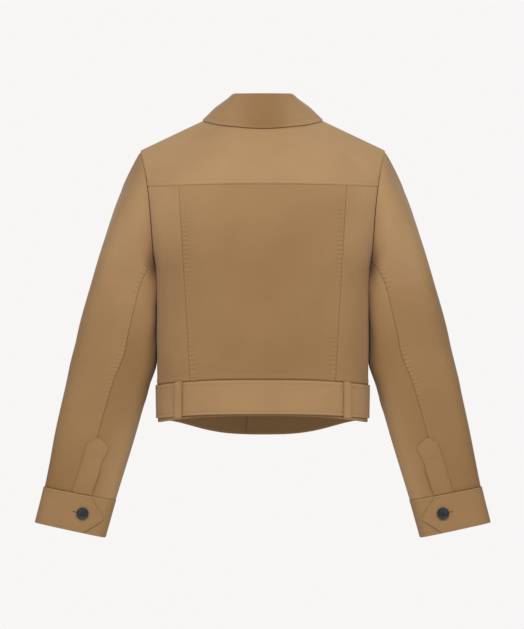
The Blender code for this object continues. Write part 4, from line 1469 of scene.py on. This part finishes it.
for side, hand in SIDES:
    lay(
        f"cuff_{hand}",
        cuff_surface(side),
        ALL_FOLDED,
        rests_on=[f"sleeve_top_{hand}_cloth"],
        rows=[
            Row("bottom", CUFF_ROW, 0.0, CUFF_ROW),
            Row("top", CUFF_ROW, 0.0, CUFF_ROW),
            Row("right", CUFF_ROW, CUFF_ROW, CUFF_ROW),
        ],
        thickness=DOUBLE_CLOTH,
        step=CUFF_STEP,
        shade=CUFF_PAINTED_SHADE,
        pointed="right",
    )
    lay(
        f"vent_{hand}",
        vent_surface(side),
        around(VENT_SIDE, FOLDED, SEWN, FOLDED),
        rests_on=[f"sleeve_top_{hand}_cloth"],
        rows=[
            Row("left", VENT_ROW, 0.0, VENT_ROW),
            Row("right", VENT_ROW, 0.0, VENT_ROW),
            Row("top", VENT_ROW, VENT_ROW, VENT_ROW),
            Row("bottom", BOX_STITCH_LOW, VENT_ROW, VENT_ROW),
            Row("bottom", BOX_STITCH_HIGH, VENT_ROW, VENT_ROW),
        ],
        thickness=VENT_THICK,
        step=VENT_STEP,
        # The vent strips are painted darker, like the sleeve's painted shade round them.
        shade=PaintedShade(-0.60, -0.50, -0.45, -0.40),
        pointed="top",
    )

# %% [markdown]
# The buttons are dark horn with a raised rim, a shallow dish and four holes. One is modelled from a disc:
# the top is inset twice and pushed down for the dish, a bevel rounds the edges, and four pegs are taken
# away for the holes. Horn has soft streaks and a low polish, so noise drawn out along one direction
# drives its colour and roughness.

# %% Model one button
BUTTON_RADIUS = 0.0098
BUTTON_THICK = 0.0034
BUTTON_RIM = 0.0022
BUTTON_DISH = 0.0010
BUTTON_EDGE = 0.0008
BUTTON_BEVEL = 0.0005
BEVEL_ANGLE = math.radians(25)
SMOOTH_ANGLE = math.radians(35)
HOLE_RADIUS = 0.0010
HOLE_OFF = 0.0019
HORN_STRETCH = (70, 70, 420)
HORN_DARK = (0.004, 0.005, 0.008, 1)
HORN_LIGHT = (0.018, 0.021, 0.031, 1)


def polished_horn():
    material, tree, shader = new_material("dark_horn", Coat_Weight=0.20, Coat_Roughness=0.18)
    stretch = add(tree, "ShaderNodeMapping", Scale=HORN_STRETCH)
    join(tree, add(tree, "ShaderNodeTexCoord"), "Object", stretch, "Vector")
    streak = noise(tree, stretch, "Vector", 2.0, 4.0)
    join(tree, between(tree, HORN_DARK, HORN_LIGHT, streak, "Fac"), 2, shader, "Base Color")
    dull = add(tree, "ShaderNodeMapRange", To_Min=0.26, To_Max=0.44)
    join(tree, streak, "Fac", dull, "Value")
    join(tree, dull, "Result", shader, "Roughness")
    return material


def apply_modifier(obj, kind, **values):
    modifier = obj.modifiers.new(kind.title(), kind)
    for name, value in values.items():
        setattr(modifier, name, value)
    bpy.context.view_layer.objects.active = obj
    bpy.ops.object.modifier_apply(modifier=modifier.name)


bpy.ops.object.select_all(action="DESELECT")
bpy.ops.mesh.primitive_cylinder_add(
    vertices=48, radius=BUTTON_RADIUS, depth=BUTTON_THICK, location=(0, 0, BUTTON_THICK / 2)
)
button = bpy.context.object
bpy.ops.object.transform_apply(location=True, rotation=True, scale=True)
bpy.ops.object.mode_set(mode="EDIT")
select_in_edit(button, "faces", lambda face: face.normal.z > 0.9)
bpy.ops.mesh.inset(thickness=BUTTON_RIM)
bpy.ops.mesh.inset(thickness=BUTTON_EDGE, depth=-BUTTON_DISH)
bpy.ops.object.mode_set(mode="OBJECT")
apply_modifier(
    button, "BEVEL", width=BUTTON_BEVEL, segments=3, limit_method="ANGLE", angle_limit=BEVEL_ANGLE
)
pegs = []
for x in (-HOLE_OFF, HOLE_OFF):
    for y in (-HOLE_OFF, HOLE_OFF):
        bpy.ops.mesh.primitive_cylinder_add(
            vertices=16, radius=HOLE_RADIUS, depth=3 * BUTTON_THICK, location=(x, y, BUTTON_THICK / 2)
        )
        pegs.append(bpy.context.object)
for peg in pegs:
    apply_modifier(button, "BOOLEAN", operation="DIFFERENCE", solver="EXACT", object=peg)
    bpy.data.objects.remove(peg)
bpy.ops.object.select_all(action="DESELECT")
button.select_set(True)
bpy.context.view_layer.objects.active = button
bpy.ops.object.shade_smooth_by_angle(angle=SMOOTH_ANGLE)
button_mesh = button.data
bpy.data.objects.remove(button)
print("one button:", len(button_mesh.polygons), "faces")

# %% [markdown]
# Each button stands on its own seat and is turned to face outwards there. Strands of thread cross its
# dish from hole to hole. Beside it runs the buttonhole: a dark sheet of painted shadow for the slit,
# between two close rows of bars.

# %% Place the buttons and their holes
FRONT_BUTTONS = 4
FRONT_BUTTON_TOP = -0.098
FRONT_BUTTON_PITCH = 0.086
CUFF_BUTTON_DEG = 103
CUFF_BUTTON_HEIGHT = 0.51
BUTTONHOLE_LENGTH = 0.0205
BUTTONHOLE_START = BUTTON_RADIUS * 0.4
BUTTONHOLE_END = BUTTONHOLE_START - BUTTONHOLE_LENGTH
BUTTONHOLE_BARS = 22
STRAND_SHIFTS = (-0.00035, 0.0, 0.00035)
STRAND_LIFT = 0.00025
STRAND_SCALE = (1.5, 0.75, 0.8)
BAR_SCALE = (0.62, 1.3, 1.0)
BAR_OFF = 0.0011
SLIT_HALF = 0.00055
SLIT_LIFT = 0.00016
SLIT_END = 0.03
SLIT_SHARPNESS = 0.4
horn_finish = polished_horn()


def seat_frame(seat, direction, along):
    """A matrix that puts a button on its seat, with its first axis along the buttonhole."""
    direction = direction.normalized()
    along = (along - direction * along.dot(direction)).normalized()
    turn = Matrix((along, direction.cross(along), direction)).transposed()
    return Matrix.Translation(seat + direction * SEAM) @ turn.to_4x4()


def place_button(node, frame_at):
    mesh = button_mesh.copy()
    mesh.transform(frame_at)
    piece = new_piece(f"{node}_horn", mesh, horn_finish)
    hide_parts(node)
    strands = []
    for y in (-HOLE_OFF, HOLE_OFF):
        for shift in STRAND_SHIFTS:
            middle = frame_at @ Vector((0, y + shift, BUTTON_THICK - BUTTON_DISH + STRAND_LIFT))
            strands.append((middle, frame_at.col[0].xyz, frame_at.col[2].xyz))
    frames = [tuple(np.array(part) for part in strand) for strand in strands]
    sew(f"{node}_thread", frames, scale=STRAND_SCALE, finish=dark_thread_finish)


def place_buttonhole(node, on_cloth, first, last):
    """A slit on the cloth from one distance along it to another, a sheet of painted shadow with bars across
    both lips.
    """
    frames, slit = [], []
    for i in range(BUTTONHOLE_BARS + 1):
        point, along, away = on_cloth(mix(first, last, i / BUTTONHOLE_BARS))
        aside = away.cross(along).normalized()
        share = min(max(i / BUTTONHOLE_BARS, SLIT_END), 1 - SLIT_END)
        taper = math.sin(math.pi * share) ** SLIT_SHARPNESS
        for lip in (-1, 1):
            middle = point + aside * lip * BAR_OFF
            frames.append(tuple(np.array(part) for part in (middle, aside, away)))
            slit.append(point + aside * lip * SLIT_HALF * taper + away * SLIT_LIFT)
    sew(f"{node}_buttonhole", frames, scale=BAR_SCALE)
    mesh = bpy.data.meshes.new(f"{node}_slit")
    faces = [(2 * i, 2 * i + 1, 2 * i + 3, 2 * i + 2) for i in range(BUTTONHOLE_BARS)]
    mesh.from_pydata(slit, [], faces)
    piece = new_piece(f"{node}_slit", mesh, slit_painted_shadow)


def front_place(height, x=0.0):
    angle = torso_angle(x, height)
    seat = raised(-1, angle, height, OVERLAP_LIFT)
    return seat, torso_normal(-1, angle, height)


for i in range(FRONT_BUTTONS):
    height = FRONT_BUTTON_TOP - FRONT_BUTTON_PITCH * i
    seat, away = front_place(height)
    place_button(f"button_front_{i + 1}", seat_frame(seat, away, Vector((1, 0, 0))))

    def on_front(distance, height=height):
        seat, away = front_place(height, distance)
        ahead = front_place(height, distance + PROBE)[0] - seat
        return seat, ahead.normalized(), away

    place_buttonhole(f"button_front_{i + 1}", on_front, BUTTONHOLE_START, BUTTONHOLE_END)

# %% [markdown]
# The belt's button and those of the cuffs sit on cloth that slants, so each strip is asked for its own
# direction there and for the side that faces outwards.

# %% The belt button and the cuff buttons
BELT_BUTTON_HEIGHT = 0.5
BELT_PROBE = 0.005
CUFF_SCALE_DEG = 96
CUFF_PROBE_DEG = 2
ABOVE = 0.1
belt_turn = front_turn(BELT_BUTTON_X)


def on_belt(distance):
    def point(turn, height=BELT_BUTTON_HEIGHT):
        return belt_point(turn, height, belt_lift(turn, height))

    turn = belt_turn + distance / TORSO[1].half_width
    seat = point(turn)
    ahead = point(turn + BELT_PROBE) - seat
    above = point(turn, BELT_BUTTON_HEIGHT + ABOVE) - seat
    return seat, ahead.normalized(), above.cross(ahead).normalized()


seat, ahead, away = on_belt(0.0)
place_button("button_belt", seat_frame(seat, away, ahead))
place_buttonhole("button_belt", on_belt, -BUTTONHOLE_START, -BUTTONHOLE_END)

for side, hand in SIDES:

    def on_cuff(distance, side=side):
        def point(degrees, height=CUFF_BUTTON_HEIGHT):
            return mirrored(ring_point(cuff_place(height), degrees, cuff_lift(degrees)), side)

        per_degree = (point(CUFF_SCALE_DEG + 1) - point(CUFF_SCALE_DEG)).length
        degrees = CUFF_BUTTON_DEG - distance / per_degree
        seat = point(degrees)
        ahead = point(degrees - CUFF_PROBE_DEG) - seat
        above = point(degrees, CUFF_BUTTON_HEIGHT + ABOVE) - seat
        return seat, ahead.normalized(), above.cross(ahead).normalized() * side

    seat, ahead, away = on_cuff(0.0)
    place_button(f"button_cuff_{hand}", seat_frame(seat, away, ahead))
    place_buttonhole(f"button_cuff_{hand}", on_cuff, -BUTTONHOLE_START, -BUTTONHOLE_END)

# %% [markdown]
# A studio picture of clothing has an almost white ground and large soft lights. Most of the light comes
# from above on the camera's side, so the yoke is the palest part, and its painted light makes it paler
# still. The floor is a pale disc well below the jacket.

# %% The studio
FLOOR_HEIGHT = -1.40
FLOOR_RADIUS = 1.15
GROUND = (0.940, 0.922, 0.913)
FILL = (1, 0.99, 0.98)
FILL_STRENGTH = 0.40
Light = namedtuple("Light", "name place aim size watts")
LIGHTS = [
    Light("key_above", (0.0, 3.0, 1.6), (0, 0, -0.2), 1.2, 49),
    Light("side_left", (1.9, 2.3, 1.0), (0, 0, -0.2), 1.2, 15),
    Light("side_right", (-1.9, 2.3, 1.0), (0, 0, -0.2), 1.2, 15),
    Light("fill_below", (0.0, 1.6, -1.3), (0, -0.1, -0.47), 1.0, 3.0),
    Light("fill_front", (0.0, -2.6, 1.2), (0, 0, -0.3), 2.4, 36),
]


def soft_light(name, place, aim, size, watts):
    light = bpy.data.lights.new(name, "AREA")
    light.shape, light.size, light.energy = "DISK", size, watts
    lamp = bpy.data.objects.new(name, light)
    lamp.location = place
    lamp.rotation_euler = (Vector(aim) - Vector(place)).to_track_quat("-Z", "Y").to_euler()
    bpy.context.scene.collection.objects.link(lamp)


world = bpy.data.worlds.new("pale_studio")
bpy.context.scene.world = world
world.use_nodes = True
tree = world.node_tree
ground = tree.nodes["Background"]
ground.inputs["Color"].default_value = (*GROUND, 1)
ground.inputs["Strength"].default_value = 1.0
fill = add(tree, "ShaderNodeBackground", Strength=FILL_STRENGTH, Color=(*FILL, 1))
seen = add(tree, "ShaderNodeLightPath")
choose = add(tree, "ShaderNodeMixShader")
join(tree, seen, "Is Camera Ray", choose, 0)
join(tree, fill, "Background", choose, 1)
join(tree, ground, "Background", choose, 2)
join(tree, choose, "Shader", tree.nodes["World Output"], "Surface")
for light in LIGHTS:
    soft_light(*light)

bpy.ops.object.select_all(action="DESELECT")
bpy.ops.mesh.primitive_circle_add(
    vertices=96, radius=FLOOR_RADIUS, fill_type="NGON", location=(0, 0, FLOOR_HEIGHT)
)
floor = bpy.context.object
floor.name = "studio_floor"
pale = new_material("pale_floor", Base_Color=(0.86, 0.85, 0.84, 1), Roughness=0.9)[0]
floor.data.materials.append(pale)
bpy.context.scene.view_settings.view_transform = "Standard"
print("lights:", [o.name for o in bpy.data.objects if o.type == "LIGHT"])

# %% [markdown]
# The photograph was taken from straight behind with a long lens, level with the middle of the jacket.
# Its scale of 1.62 mm to a pixel fixes the lens once the distance is chosen.

# %% The camera
PHOTO_HEIGHT = 629
PIXEL = 0.00162
CAMERA_DISTANCE = 4.0
CAMERA_HEIGHT = -0.3295
CAMERA_ASIDE = 0.0012
SENSOR = 36.0
view = bpy.data.cameras.new("behind")
view.sensor_fit = "VERTICAL"
view.sensor_height = SENSOR
view.lens = SENSOR * CAMERA_DISTANCE / (PHOTO_HEIGHT * PIXEL)
camera = bpy.data.objects.new("behind", view)
camera.location = (CAMERA_ASIDE, CAMERA_DISTANCE, CAMERA_HEIGHT)
camera.rotation_euler = (math.pi / 2, 0, math.pi)
bpy.context.scene.collection.objects.link(camera)
bpy.context.scene.camera = camera
